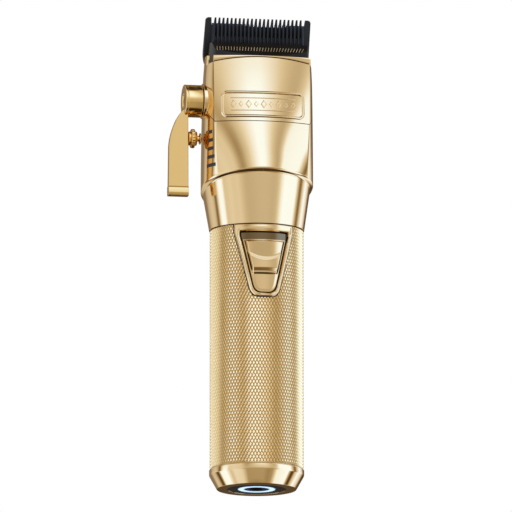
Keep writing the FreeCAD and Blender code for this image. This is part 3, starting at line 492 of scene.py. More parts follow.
def rrect(w, h, r, xc=0.0, zc=0.0, n=8):
    return fillet([(xc - w / 2, zc - h / 2, r), (xc + w / 2, zc - h / 2, r), (xc + w / 2, zc + h / 2, r), (xc - w / 2, zc + h / 2, r)], n)


def circle(r, a, b, n=48):
    return [(a + r * math.cos(2 * math.pi * i / n), b + r * math.sin(2 * math.pi * i / n)) for i in range(n)]


LY, LZ = -1.0, 167.0
REL_Z = 119.5
GAP = 0.15
housing = head_shell("head_housing_skin")
plate = head_shell("face_plate_skin")
seat = blade_prism("c_seat", [(-14, -0.05), (39.0, -0.05), (39.0, 30), (-14, 30)], -30, 30)
room = blade_prism("c_room", [(-3, -4.4), (-3, 2), (21.6, 2), (21.6, -4.4)], -21.85, 21.85)
def arch_z(x):
    return PLATE_Z1 - 0.2 + 2.2 * (1 - (x / 21.0) ** 2)


def arch_outline(dz):
    xs_ = [-26 + i * 0.65 for i in range(81)]
    return [(-26, 120)] + [(x, arch_z(x) + dz) for x in xs_] + [(26, 120)]


arch_in = extrude("c_arch", arch_outline(-0.06), -31, 10.3, None, "XZ")
zone_in = extrude("c_zone_in", [(-40, PLATE_Z0 + 0.10), (-13.57, PLATE_Z0 + 0.10), (-5.27, 163.2), (-5.27, 186.0), (-40, 186.0)], -30, 30, None, "YZ")
zone_out = extrude("c_zone_out", [(-40, PLATE_Z0 - 0.2), (-13.5, PLATE_Z0 - 0.2), (-5.2 + GAP, 163.05), (-5.2 + GAP, 200), (-40, 200)], -30.3, 30.3, None, "YZ")
topbox = extrude("c_top", [(-45, 186.2), (45, 186.2), (45, 230), (-45, 230)], -45, 45, None, "XZ")
relcut = extrude("c_rel", rrect(9.4, 5.4, 2.4, 0, REL_Z), 14, 30, None, "XZ")
s1 = extrude("c_s1", circle(2.3, -11.0, 124.5), 12, 30, None, "XZ")
s2 = extrude("c_s2", circle(2.3, 11.0, 124.5), 12, 30, None, "XZ")
bore = extrude("c_bore", circle(3.3, LY, LZ), -27, -16, None, "YZ")
plate_boss = extrude("c_pb", circle(7.65, LY, LZ, 96), -30, -18, None, "YZ")
boolean(housing, [zone_out, seat, topbox, room, relcut, s1, s2, bore])
boolean(plate, [zone_in], "INTERSECT")
boolean(plate, [arch_in], "INTERSECT")
boolean(plate, [seat, room, plate_boss])
drop(arch_in, seat, room, zone_in, zone_out, topbox, relcut, s1, s2, bore, plate_boss)
for o, node, slot in ((housing, "main_housing", "polished_gold"), (plate, "face_plate", "polished_gold")):
    finish_mesh(o, M["gold"])
    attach(o, "head")
    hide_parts(node)

# raised pad round the lever's hub, on the left side
boss = lathe("hub_boss", fillet([(3.35, 3.0, 0), (7.5, 3.0, 0.0), (7.5, -0.70, 0.22), (3.35, -0.80, 0.1)], 4), M["gold"], 128, "X", (-23.35, LY, LZ))
bx = blade_prism("c_seat2", [(-14, -0.05), (39.0, -0.05), (39.0, 30), (-14, 30)], -30, 30)
boolean(boss, [bx])
drop(bx)
finish_mesh(boss, M["gold"])
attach(boss, "head")

# ---------------------------------------------------------------- badge plaque with a plain ornament
PW, PH, PR, PZ = 36.6, 12.2, 2.9, 163.7


def sdf_rrect(x, z, w, h, r):
    qx, qz = np.abs(x) - (w / 2 - r), np.abs(z) - (h / 2 - r)
    return -(np.hypot(np.maximum(qx, 0), np.maximum(qz, 0)) + np.minimum(np.maximum(qx, qz), 0) - r)


def step(a, b, x):
    t = np.clip((x - a) / (b - a), 0, 1)
    return t * t * (3 - 2 * t)


def lin(a, b, x, k=0.07):
    """A straight chamfer from a to b with its corners eased over k."""
    xs = np.linspace(a - 4 * k, b + 4 * k, 400)
    n = max(1, int(round(k / (xs[1] - xs[0]))))
    y = np.clip((xs - a) / (b - a), 0, 1)
    out = np.convolve(np.concatenate([np.zeros(n), y, np.ones(n)]), np.ones(2 * n + 1) / (2 * n + 1), "valid")
    return np.interp(x, xs, out)


def badge():
    nx, nz = 340, 130
    xs = np.linspace(-PW / 2 - 0.3, PW / 2 + 0.3, nx)
    zs = np.linspace(-PH / 2 - 0.3, PH / 2 + 0.3, nz)
    X, Z = np.meshgrid(xs, zs)
    d = sdf_rrect(X, Z, PW, PH, PR)
    h = -0.42 + 0.92 * lin(-0.14, 0.60, d) - 0.60 * lin(1.02, 1.52, d)
    # ornament: a row of faceted lozenges between two fine bars
    orn = np.zeros_like(X)
    for k in range(-4, 5):
        xc = k * 3.25
        hw, hz = (1.45, 2.05) if k % 2 == 0 else (1.05, 1.4)
        u = 1 - np.abs(X - xc) / hw - np.abs(Z) / hz
        orn = np.maximum(orn, np.clip(u * 1.75, 0, 0.55 if k % 2 == 0 else 0.42))
    bar = step(0, 0.10, 0.22 - np.abs(np.abs(Z) - 2.75)) * step(0, 0.3, 14.4 - np.abs(X)) * 0.30
    h = h + np.where(d > 1.6, np.maximum(orn, bar), 0)
    # the face of the housing under the plaque, as one smooth polynomial
    xa, za = np.linspace(xs[0], xs[-1], 33), np.linspace(zs[0], zs[-1], 11)
    ga, gb = np.meshgrid(xa / 18.6, za / 6.4)
    terms = [(i, j) for i in range(0, 7, 2) for j in range(4)]
    yv = np.array([[front_y(float(x), PZ + float(z)) for x in xa] for z in za])
    co = np.linalg.lstsq(np.stack([(ga ** i * gb ** j).ravel() for i, j in terms], 1), yv.ravel(), rcond=None)[0]
    Y = sum(c * (X / 18.6) ** i * (Z / 6.4) ** j for c, (i, j) in zip(co, terms))
    P = np.stack([X, Y - h, PZ + Z], -1).reshape(-1, 3)
    back = np.stack([X, Y + 0.55, PZ + Z], -1).reshape(-1, 3)
    F = grid_faces(nz, nx)
    ring = [j for j in range(nx)] + [i * nx + nx - 1 for i in range(1, nz)] + [(nz - 1) * nx + j for j in range(nx - 2, -1, -1)] + [i * nx for i in range(nz - 2, 0, -1)]
    base = len(P)
    b_pts = back[ring]
    n = len(ring)
    F += [(ring[k], ring[(k + 1) % n], base + (k + 1) % n, base + k) for k in range(n)]
    F.append(tuple(base + k for k in range(n)))
    return make("badge_plaque_relief", np.concatenate([P, b_pts]), F, M["badge"])


plq = badge()
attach(plq, "head")
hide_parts("badge_plaque")


# ---------------------------------------------------------------- rounded lip above the face plate
def lip():
    nx = 150
    P = []
    prof = [(0.0, -1.2), (0.0, -0.2), (0.03, 0.02), (0.10, 0.16), (0.22, 0.26), (0.40, 0.30), (0.60, 0.28), (0.78, 0.20), (0.92, 0.06), (0.99, -0.12), (1.0, -0.4), (1.0, -1.2)]
    for v, h in prof:
        for i in range(nx):
            x = -20.75 + 41.5 * i / (nx - 1)
            z0 = arch_z(x) + 0.14
            z1 = 185.55
            P.append((x, front_y(x, arch_z(x)) - h, z0 + (z1 - z0) * v))
    R = len(prof)
    F = grid_faces(R, nx, closed_r=True)
    F.append(tuple(i * nx for i in range(R)))
    F.append(tuple(i * nx + nx - 1 for i in reversed(range(R))))
    return make("nose_lip_rolled", P, F, M["mirror"], 60)


lp_ = lip()
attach(lp_, "head")
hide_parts("nose_lip")


# painted reflection: fine gold lines along the dark slope stand in for the teeth reflected in it
def comb():
    RU, RN = (0.695, 0.719), (-0.719, 0.695)

    def rp(x, u, n):
        return (x, -13.3 + RU[0] * u + RN[0] * n, 185.6 + RU[1] * u + RN[1] * n)
    P, F = [], []
    for k in range(31):
        x = -19.2 + 36.6 * k / 30
        lean = -0.10 - 0.95 * k / 30                 # the lines lean more towards the right
        o = len(P)
        for n in (0.035, -0.2):
            P += [rp(x - 0.02, 3.0, n), rp(x + 0.20, 3.0, n), rp(x + 0.28 - lean, 5.7, n), rp(x + 0.06 - lean, 5.7, n)]
        F += [(o, o + 1, o + 2, o + 3), (o + 7, o + 6, o + 5, o + 4)] + [(o + i, o + (i + 1) % 4, o + 4 + (i + 1) % 4, o + 4 + i) for i in range(4)]
    return make("ramp_comb_lines", P, F, M["comb"], 30)


cb_ = comb()
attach(cb_, "head")

# ---------------------------------------------------------------- the lever scale on the left side
def side_x(y, z, off=0.0):
    """X of the head's left side at y, z."""
    z0 = z
    for _ in range(3):
        tilt, W, yf, xe, ye, yb, n, ym = params(z0)
        z0 = z + tilt * y
    if y < ym:
        u = max(0.0, min(1.0, (y - ye) / (ym - ye))) ** (1 / 1.15)
        x = xe + (W - xe) * math.sin(u * math.pi / 2)
    else:
        s = ((y - ym) / (yb - ym)) ** (n / 2)
        x = W * max(0.0, 1 - s * s) ** (1 / n)
    return -x - off


def patch(name, y0, y1, z0, z1, mat, off=0.05, slant=0.0, ny=10, nz=4):
    P, T = [], 0.30
    for lay in (off, -T):
        for i in range(nz + 1):
            for j in range(ny + 1):
                y = y0 + (y1 - y0) * j / ny
                z = z0 + (z1 - z0) * i / nz + slant * (j / ny - 0.5)
                P.append((side_x(y, z, lay), y, z))
    K = (nz + 1) * (ny + 1)
    F = grid_faces(nz + 1, ny + 1) + grid_faces(nz + 1, ny + 1, off=K, flip=True)
    ring = [j for j in range(ny + 1)] + [i * (ny + 1) + ny for i in range(1, nz + 1)] + [nz * (ny + 1) + j for j in range(ny - 1, -1, -1)] + [i * (ny + 1) for i in range(nz - 1, 0, -1)]
    n = len(ring)
    F += [(ring[k], ring[(k + 1) % n], K + ring[(k + 1) % n], K + ring[k]) for k in range(n)]
    return P, F


def joined(name, parts, mat, sharp=40):
    P, F = [], []
    for p, f in parts:
        o = len(P)
        P += list(p)
        F += [tuple(i + o for i in q) for q in f]
    return make(name, P, F, mat, sharp)


bars = []
for zc, ln in ((152.2, 2.6), (148.6, 3.4), (145.0, 4.2), (141.4, 5.0), (137.8, 5.8)):
    bars.append(patch("t", -10.4 - ln / 2, -10.4 + ln / 2, zc - 0.75, zc + 0.75, None))
scale = joined("lever_scale_marks", bars, M["black_ink"])
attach(scale, "head")
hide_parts("side_scale")


# ---------------------------------------------------------------- knurled sleeve
def v_outline(wt, z_top, z_side, wb, z_bot, rc, n=8):
    pts = [(-wt, z_top), (-wt, z_side)]
    a = (-wb - (wt - wb) * rc * 1.6 / (z_side - z_bot), z_bot + rc * 1.6)
    b = (-wb + 0.25, z_bot)
    c = (-wb + rc * 1.5, z_bot)
    for i in range(n + 1):
        u = i / n
        pts.append(((1 - u) ** 2 * a[0] + 2 * u * (1 - u) * b[0] + u * u * c[0], (1 - u) ** 2 * a[1] + 2 * u * (1 - u) * b[1] + u * u * c[1]))
    return pts + [(-x, z) for x, z in reversed(pts)]


BEZ_OUT = v_outline(12.65, 111.55, 108.0, 5.7, 80.0, 2.3)
BEZ_REC = v_outline(10.2, 108.2, 106.6, 4.6, 81.7, 2.0)
BEZ_CUT = v_outline(12.9, 116.5, 108.05, 5.95, 79.72, 2.3)
SL_OUT = v_outline(9.0, 104.8, 104.4, 4.15, 82.2, 1.9)


def sdf_poly(X, Z, poly):
    """Signed distance, positive inside."""
    best = np.full(X.shape, 1e9)
    inside = np.zeros(X.shape, bool)
    n = len(poly)
    for i in range(n):
        ax, az = poly[i]
        bx_, bz = poly[(i + 1) % n]
        ex, ez = bx_ - ax, bz - az
        L2 = ex * ex + ez * ez
        if L2 < 1e-12:
            continue
        t = np.clip(((X - ax) * ex + (Z - az) * ez) / L2, 0, 1)
        best = np.minimum(best, np.hypot(X - ax - t * ex, Z - az - t * ez))
        if az != bz:
            c = ((az > Z) != (bz > Z)) & (X < (bx_ - ax) * (Z - az) / (bz - az) + ax)
            inside ^= c
    return np.where(inside, best, -best)


def knurl():
    N, HP = 89, 2.7
    z0, z1 = 8.35, 111.6
    C = N * 4
    dz = HP / 4
    R = int(round((z1 - z0) / dz)) + 1
    dz = (z1 - z0) / (R - 1)
    P = np.zeros((R, C, 3))
    for i in range(R):
        j = np.arange(C)
        u = (j + i) / 4.0
        v = (j - i) / 4.0
        tu = 1 - np.abs(2 * (u % 1.0) - 1)
        tv = 1 - np.abs(2 * (v % 1.0) - 1)
        h = np.minimum(tu, tv)
        r = 19.58 + 0.50 * h
        if i in (0, R - 1):
            r = np.full(C, 19.55)
        a = 2 * math.pi * j / C
        P[i, :, 0] = r * np.sin(a)
        P[i, :, 1] = -r * np.cos(a)
        P[i, :, 2] = z0 + dz * i
    V_ = P.reshape(-1, 3)
    F = []
    for i in range(R - 1):
        for j in range(C):
            j2 = (j + 1) % C
            a, b, c, d = i * C + j, i * C + j2, (i + 1) * C + j2, (i + 1) * C + j
            if (j - i) % 2 == 0:      # the diagonal a-c lies on a groove or ridge
                F += [(a, b, c), (a, c, d)]
            else:
                F += [(a, b, d), (b, c, d)]
    # inner wall
    base = len(V_)
    ci = 120
    inn = []
    zi = [z0, 30, 60, 78] + list(np.linspace(80, z1, 12))
    for z in zi:
        for j in range(ci):
            a = 2 * math.pi * j / ci
            inn.append((18.2 * math.sin(a), -18.2 * math.cos(a), z))
    F2 = [tuple(reversed(f)) for f in grid_faces(len(zi), ci, True, off=base)]
    me = bpy.data.meshes.new("knurled_sleeve")
    me.from_pydata((np.concatenate([V_, np.array(inn)]) * MM).tolist(), [], [tuple(int(i) for i in f) for f in F + F2])
    bm = bmesh.new()
    bm.from_mesh(me)
    # cut the V notch cleanly, then remove what is inside it
    n = len(BEZ_CUT)
    for k in range(n):
        (ax, az), (bx_, bz) = BEZ_CUT[k], BEZ_CUT[(k + 1) % n]
        if math.hypot(bx_ - ax, bz - az) < 0.05 or (az > 112 and bz > 112):
            continue
        near = [f for f in bm.faces if f.calc_center_median().y < 0 and abs(f.calc_center_median().x) < 0.0145 and f.calc_center_median().z > 0.0785]
        if abs(ax - bx_) > 1e-6 or abs(az - bz) > 1e-6:
            lo_z, hi_z = min(az, bz) - 1.2, max(az, bz) + 1.2
            lo_x, hi_x = min(ax, bx_) - 1.2, max(ax, bx_) + 1.2
            near = [f for f in near if lo_z < f.calc_center_median().z / MM < hi_z and lo_x < f.calc_center_median().x / MM < hi_x]
        if not near:
            continue
        geom = set(near)
        for f in near:
            geom.update(f.edges)
            geom.update(f.verts)
        no = Vector((bz - az, 0, -(bx_ - ax))).normalized()
        bmesh.ops.bisect_plane(bm, geom=list(geom), dist=1e-7, plane_co=Vector((ax * MM, 0, az * MM)), plane_no=no)
    cen = [(f, f.calc_center_median()) for f in bm.faces]
    sel = [(f, c) for f, c in cen if c.y < 0 and abs(c.x) < 0.014 and c.z > 0.079]
    if sel:
        X = np.array([c.x for f, c in sel]) / MM
        Z = np.array([c.z for f, c in sel]) / MM
        d = sdf_poly(X, Z, BEZ_CUT)
        bmesh.ops.delete(bm, geom=[f for (f, c), q in zip(sel, d) if q > 0], context="FACES")
    # rims: every open edge of the outer wall is drawn in to the inner wall's radius
    rim = [e for e in bm.edges if len(e.link_faces) == 1 and all(v.co.xy.length > 0.0190 for v in e.verts)]
    r = bmesh.ops.extrude_edge_only(bm, edges=rim)
    for v in [g for g in r["geom"] if isinstance(g, bmesh.types.BMVert)]:
        L_ = v.co.xy.length
        v.co.x *= 0.0182 / L_
        v.co.y *= 0.0182 / L_
    bm.to_mesh(me)
    bm.free()
    me.shade_flat()
    o = bpy.data.objects.new("knurled_sleeve", me)
    scene.collection.objects.link(o)
    me.materials.append(M["knurl"])
    return o


kn = knurl()
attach(kn, "battery")
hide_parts("grip_sleeve")


# ---------------------------------------------------------------- switch bezel and slider
def on_drum(name, x0, x1, z0, z1, nx, nz, radius, mat, inner_r, sharp=None, body="head"):
    """Relief over the drum: radius(X, Z) gives the outer surface, inner_r the back."""
    xs, zs = np.linspace(x0, x1, nx), np.linspace(z0, z1, nz)
    X, Z = np.meshgrid(xs, zs)
    Rr = radius(X, Z)
    Y = -np.sqrt(np.maximum(Rr ** 2 - X ** 2, 1))
    P = np.stack([X, Y, Z], -1).reshape(-1, 3)
    F = [f[::-1] for f in grid_faces(nz, nx)]
    ring = [j for j in range(nx)] + [i * nx + nx - 1 for i in range(1, nz)] + [(nz - 1) * nx + j for j in range(nx - 2, -1, -1)] + [i * nx for i in range(nz - 2, 0, -1)]
    n = len(ring)
    base = len(P)
    B = P[ring].copy()
    B[:, 1] = -np.sqrt(np.maximum(inner_r ** 2 - B[:, 0] ** 2, 1))
    F += [(ring[k], ring[(k + 1) % n], base + (k + 1) % n, base + k) for k in range(n)]
    F.append(tuple(base + k for k in range(n)))
    return make(name, np.concatenate([P, B]), F, mat, sharp)


def clip_to(o, outline, y0=-30, y1=-5):
    c = extrude("c_clip", outline, y0, y1, None, "XZ")
    boolean(o, [c], "INTERSECT")
    drop(c)


def bezel_r(X, Z):
    d = sdf_poly(X, Z, BEZ_OUT)
    q = sdf_poly(X, Z, BEZ_REC)
    r = 20.05 + 0.50 * step(-0.02, 0.55, d) + 0.06 * step(0.9, 1.25, d)
    r = r - 0.16 * step(0.10, 0.24, 0.34 - np.abs(q + 0.95)) * (d > 0.8)
    r = r - 1.34 * lin(-0.62, 0.42, q)
    return r


bez = on_drum("switch_bezel_relief", -12.72, 12.72, 79.93, 111.6, 236, 296, bezel_r, M["bezel"], 18.35)
clip_to(bez, BEZ_OUT)
slot_c = extrude("c_slot", [(-1.9, 89.4), (1.9, 89.4), (1.9, 98.8), (-1.9, 98.8)], -30, -10, None, "XZ")
boolean(bez, [slot_c])
drop(slot_c)
finish_mesh(bez, M["bezel"], 50)
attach(bez, "head")
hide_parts("switch_bezel")


def slider_r(X, Z):
    d = sdf_poly(X, Z, SL_OUT)
    zr = 95.3 + 1.9 * (X / 6.0) ** 2               # the smile line
    up = np.interp(Z - zr, [0.0, 0.25, 1.5, 1.9, 9.0], [21.44, 21.46, 20.90, 20.88, 21.52])
    dn = np.interp(Z, [82.3, 83.0, 89.62, 89.76, 90.42, 90.54, 91.02, 91.12, 92.36, 92.5], [19.66, 19.68, 19.78, 19.82, 20.40, 20.45, 20.48, 20.52, 21.38, 21.44])
    face = np.where(Z > zr, up, np.minimum(dn, 21.44))
    lat = step(0.12, 1.25, d)
    return 19.60 + lat * (face - 19.60)


sld = on_drum("switch_slider_relief", -9.05, 9.05, 82.15, 104.85, 182, 290, slider_r, M["slider"], 19.37)
clip_to(sld, SL_OUT)
peg = extrude("slider_peg", [(-1.4, 91.6), (1.4, 91.6), (1.4, 94.9), (-1.4, 94.9)], -19.6, -16.3, M["slider"], "XZ", 0.15)
finish_mesh(sld, M["slider"], 50)
for o in (sld, peg):
    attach(o, "switch")
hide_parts("switch_slider")

# ---------------------------------------------------------------- end cap
cap = lathe("end_cap_turned", fillet([(12.62, 0.0, 0.04), (16.95, 0.0, 0.28), (20.15, 5.75, 0.35), (20.25, 6.2, 0.1), (20.25, 8.28, 0.35), (16.0, 8.28, 0.0), (16.0, 4.2, 0.0), (12.62, 4.2, 0.0)], 5), M["cap"], 256, sharp=50)
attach(cap, "battery")
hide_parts("end_cap")

# ---------------------------------------------------------------- taper lever
hub = lathe("lever_hub", fillet([(2.22, -24.4, 0), (6.95, -24.4, 0.35), (6.95, -30.55, 0.12), (6.72, -30.7, 0.0), (6.72, -30.9, 0.0), (7.0, -31.02, 0.12), (7.0, -31.9, 0.42), (3.35, -31.9, 0.2), (3.0, -31.3, 0.0), (3.0, -28.9, 0), (2.22, -28.9, 0)], 5), M["lever"], 160, "X", (0, LY, LZ), 50)
AY0, AY1 = LY - 2.6, LY + 0.9
ARM_CURVE = [(-31.9, 163.0), (-33.0, 162.0), (-34.2, 160.4), (-35.4, 158.3), (-36.5, 155.8), (-37.4, 153.1), (-38.1, 150.2), (-38.5, 147.0)]


def spline(pts, n=4):
    out = []
    for i in range(len(pts) - 1):
        p0, p1, p2, p3 = pts[max(i - 1, 0)], pts[i], pts[i + 1], pts[min(i + 2, len(pts) - 1)]
        for k in range(n):
            t = k / n
            out.append(tuple(0.5 * (2 * p1[c] + (p2[c] - p0[c]) * t + (2 * p0[c] - 5 * p1[c] + 4 * p2[c] - p3[c]) * t * t + (3 * p1[c] - p0[c] - 3 * p2[c] + p3[c]) * t ** 3) for c in (0, 1)))
    return out + [pts[-1]]


arm = extrude("lever_arm", [(-30.25, 163.5)] + spline(ARM_CURVE) + [(-38.72, 129.3), (-30.12, 129.3)], AY0, AY1, M["lever"], "XZ", 0.35, 4)
tipp = extrude("lever_arm_tip", fillet([(AY0 - 0.45, 128.95, 0.5), (AY0 + 0.2, 129.5, 0.2), (AY1, 129.5, 0.1), (AY1, 125.4, 0.6), (AY0 - 0.3, 125.4, 0.7), (AY0 - 0.62, 126.8, 1.2)], 5), -38.84, -30.1, M["lever"], "YZ", 0.28, 3)
for o in (hub, arm, tipp):
    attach(o, "lever")
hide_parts("taper_lever")
DETY, DETZ = LY - 0.85, 150.6
knob = lathe("detent_knob", fillet([(1.35, -30.05, 0), (2.9, -30.05, 0.2), (3.0, -29.3, 0.15), (2.5, -29.0, 0.1), (4.1, -28.95, 0.35), (4.1, -27.35, 0.35), (2.4, -27.2, 0.25), (2.1, -26.95, 0.1), (3.05, -26.8, 0.2), (3.05, -26.45, 0.2), (1.35, -26.3, 0)], 4), M["knob"], 192, "X", (0, DETY, DETZ), 40,
             wobble=lambda a, r, h: 1.0 - (0.045 * (0.5 - 0.5 * math.cos(22 * a)) ** 0.6 if r > 3.6 else 0.0))
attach(knob, "lever")
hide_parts("detent_sleeve")
pin = lathe("detent_pin_turned", fillet([(0.4, -29.1, 0), (1.2, -29.1, 0.0), (1.2, -26.35, 0.0), (1.2, -25.44, 0.0), (2.35, -25.2, 0.12), (2.5, -24.75, 0.15), (1.5, -24.5, 0.2), (0.9, -24.1, 0.3), (0.4, -24.06, 0.0)], 4), M["knob"], 96, "X", (0, DETY, DETZ), 40)
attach(pin, "detent")
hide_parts("detent_pin")


# ---------------------------------------------------------------- ribbed cutter
def cutter():
    CW, N, pitch, s0 = 40.5, 24, 1.67, 2.4
    per = 12
    xs, kind = [], []
    for i in range(N * per + 1):
        xs.append(-N * pitch / 2 + i * pitch / per)
    xs = np.array(xs)
    ph = (np.arange(len(xs)) % per) / per                 # 0 at a gap's middle
    rib = step(0.12, 0.34, np.minimum(ph, 1 - ph) * 1.0)
    prof = [(s0, -0.38), (s0 + 0.35, -0.85), (s0 + 1.2, -1.25), (5.0, -1.75), (7.4, -2.25), (9.6, -2.68), (12.0, -2.7), (14.5, -2.7), (17.0, -2.7), (20.0, -2.7)]
    prof2 = []
    for a, b in zip(prof[:-1], prof[1:]):
        for k in range(3):
            prof2.append((a[0] + (b[0] - a[0]) * k / 3, a[1] + (b[1] - a[1]) * k / 3))
    prof2.append(prof[-1])
    rows = []
    for s, t in prof2:
        depth = 0.85 * float(step(s0 - 0.2, s0 + 1.6, np.array(s))) * (1 - 0.35 * float(step(9.0, 13.0, np.array(s)))) * (1 - float(step(17.0, 19.0, np.array(s))))
        rows.append([bp(x, s, t + depth * (1 - r)) for x, r in zip(xs, rib)])
    for s in (20.0, s0):
        rows.append([bp(x, s, -0.07) for x in xs])
    R, C = len(rows), len(xs)
    P = [p for r in rows for p in r]
    F = grid_faces(R, C, closed_r=True)
    F.append(tuple(i * C for i in range(R)))
    F.append(tuple(i * C + C - 1 for i in reversed(range(R))))
    o = make("cutter_ribbed", P, F, M["blade"])
    slots = []
    for i in range(N - 1):
        mid = -pitch * (N - 1) / 2 + pitch * (i + 0.5)
        out = [(mid - 0.42, 1), (mid + 0.42, 1), (mid + 0.3, 7.0), (mid, 8.0), (mid - 0.3, 7.0)]
        P2 = [bp(x, s, -6) for x, s in out] + [bp(x, s, 2) for x, s in out]
        slots.append((P2, [tuple(range(5)), tuple(range(9, 4, -1))] + [(k, (k + 1) % 5, 5 + (k + 1) % 5, 5 + k) for k in range(5)]))
    c = joined("c_slots", slots, None)
    boolean(o, [c])
    drop(c)
    finish_mesh(o, M["blade"], 35)
    return o


cut = cutter()
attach(cut, "cutter")
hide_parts("cutter_blade")

# ---------------------------------------------------------------- materials on the carried-over nodes
KEEP = {
    "nose_frame": "ramp", "fixed_blade": "blade", "cutter_yoke": "white_nylon", "blade_carrier": "steel", "blade_screws": "screw",
    "blade_bed": "steel", "tension_spring": "bright_steel", "lever_screw": "screw", "lever_shaft": "steel", "lever_bushing": "steel",
    "detent_spring": "bright_steel", "motor_can": "steel", "motor_end_bell": "steel", "stator_core": "steel",
    "lower_bearing": "bright_steel", "upper_bearing": "bright_steel", "rotor_shaft": "bright_steel", "rotor_magnet": "magnet", "drive_cam": "steel",
    "cam_bearing": "bright_steel", "motor_mount": "steel", "motor_screws": "steel", "inner_chassis": "black_plastic", "chassis_screws": "screw",
    "control_board": "board", "slide_switch": "black_plastic", "contact_block": "black_plastic", "contact_pins": "contact", "motor_leads": "lead",
    "release_button": "slider", "release_spring": "bright_steel", "cap_window": "black_gloss", "light_ring": "light", "charge_socket": "black_gloss",
    "socket_contact": "contact", "charge_board": "board", "battery_tube": "black_plastic", "battery_cell": "cell", "cell_holder": "black_plastic",
    "cell_tabs": "bright_steel", "battery_contacts": "contact",
}
for node, key in KEEP.items():
    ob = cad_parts[node]
    for s in ob.material_slots:
        s.material = M[key]

# ---------------------------------------------------------------- floor, light and camera
fl = make("floor", [(-900, -900, -0.4), (900, -900, -0.4), (900, 900, -0.4), (-900, 900, -0.4)], [(0, 1, 2, 3)], None, recalc=False)
m, nt, bs = mat_nodes("pale_floor")
tc = nt.nodes.new("ShaderNodeTexCoord")
nz_ = nt.nodes.new("ShaderNodeTexNoise")
nz_.inputs["Scale"].default_value = 6
nt.links.new(tc.outputs["Object"], nz_.inputs["Vector"])
mx = nt.nodes.new("ShaderNodeMix")
mx.data_type = "RGBA"
mx.inputs["A"].default_value = (0.92, 0.87, 0.72, 1)
mx.inputs["B"].default_value = (0.95, 0.90, 0.745, 1)
nt.links.new(nz_.outputs["Fac"], mx.inputs["Factor"])
nt.links.new(mx.outputs["Result"], bs.inputs["Base Color"])
bs.inputs["Roughness"].default_value = 0.6
tr = nt.nodes.new("ShaderNodeBsdfTransparent")
ge = nt.nodes.new("ShaderNodeNewGeometry")
ms = nt.nodes.new("ShaderNodeMixShader")
out = [n for n in nt.nodes if n.type == "OUTPUT_MATERIAL"][0]
nt.links.new(ge.outputs["Backfacing"], ms.inputs[0])
nt.links.new(bs.outputs[0], ms.inputs[1])
nt.links.new(tr.outputs[0], ms.inputs[2])
nt.links.new(ms.outputs[0], out.inputs[0])
fl.data.materials.append(m)
fl.visible_shadow = False
fl.visible_glossy = False
fl.visible_diffuse = False
fl.visible_transmission = False

w = bpy.data.worlds.new("studio")
scene.world = w
w.use_nodes = True
nt = w.node_tree
for n in list(nt.nodes):
    nt.nodes.remove(n)
L = nt.links
wo = nt.nodes.new("ShaderNodeOutputWorld")
tc = nt.nodes.new("ShaderNodeTexCoord")
sp = nt.nodes.new("ShaderNodeSeparateXYZ")
L.new(tc.outputs["Generated"], sp.inputs[0])


def mth(op, a, b=None, c=None):
    n = nt.nodes.new("ShaderNodeMath")
    n.operation = op
    for k, v in enumerate((a, b, c)):
        if v is None:
            continue
        if isinstance(v, (int, float)):
            n.inputs[k].default_value = v
        else:
            L.new(v, n.inputs[k])
    return n.outputs[0]


def ramp(fac, stops):
    r = nt.nodes.new("ShaderNodeValToRGB")
    r.color_ramp.interpolation = "LINEAR"
    e = r.color_ramp.elements
    while len(e) > 1:
        e.remove(e[-1])
    e[0].position = stops[0][0]
    e[0].color = (*[stops[0][1]] * 3, 1)
    for p, v in stops[1:]:
        x = e.new(p)
        x.color = (v, v, v, 1)
    L.new(fac, r.inputs["Fac"])
    return r.outputs["Color"]


azm = mth("ARCTAN2", sp.outputs["X"], mth("MULTIPLY", sp.outputs["Y"], -1.0))
pa = mth("ADD", mth("DIVIDE", azm, 2 * math.pi), 0.5)          # 0.5 is the front, larger towards +X
el = mth("ARCSINE", sp.outputs["Z"])
pe = mth("ADD", mth("DIVIDE", el, math.pi), 0.5)               # 0.5 is level


def A(deg):
    return (deg + 180.0) / 360.0


def tone(stops):
    """Stops given as (azimuth in degrees, the brightness the polished metal shows, 0-255)."""
    return [(A(d), ((t / 255.0 + 0.055) / 1.055) ** 2.4 / 0.84) for d, t in stops]


level = ramp(pa, tone([(-180, 138), (-168, 134), (-158, 146), (-151, 185), (-144, 205), (-132, 220), (-124, 215), (-119, 196), (-114, 118), (-110, 128), (-105, 230), (-99, 254),
                       (-87, 252), (-82, 217), (-66, 227), (-57, 221), (-45, 224), (-38, 214), (-30, 200), (-23, 194), (25, 194), (33, 206), (43, 245), (50, 254), (82, 254), (89, 207),
                       (95, 120), (99, 130), (106, 222), (116, 254), (130, 235), (142, 84)]))
above = ramp(pa, tone([(-180, 150), (-160, 130), (-150, 180), (-130, 200), (-120, 150), (-112, 120), (-104, 210), (-98, 240), (-60, 226), (-50, 222), (-42, 182), (-36, 158), (-31, 176), (-25, 205),
                       (-16, 232), (-8, 246), (0, 254), (10, 254), (15, 247), (20, 236), (25, 218), (31, 196), (36, 186), (41, 214), (46, 250), (80, 252), (90, 190), (97, 115), (106, 210), (118, 250), (135, 200), (150, 120)]))
low = ramp(pa, tone([(-180, 95), (-170, 120), (-164, 180), (-156, 210), (-143, 212), (-137, 190), (-131, 110), (-126, 72), (-122, 170), (-118, 250), (-101, 254), (-95, 242), (-86, 214), (-76, 233), (-57, 230),
                     (-51, 222), (-45, 199), (-38, 171), (-20, 174), (10, 176), (26, 159), (38, 172), (44, 212), (51, 248), (84, 254), (88, 190), (94, 72), (99, 100), (105, 215), (116, 254), (131, 225), (141, 85)]))
f_up = ramp(pe, [(0.0, 0.0), (0.5 + 1.0 / 180, 0.0), (0.5 + 26.0 / 180, 1.0), (1.0, 1.0)])
f_dn = ramp(pe, [(0.0, 1.0), (0.5 - 17.0 / 180, 1.0), (0.5 - 9.0 / 180, 0.0), (1.0, 0.0)])
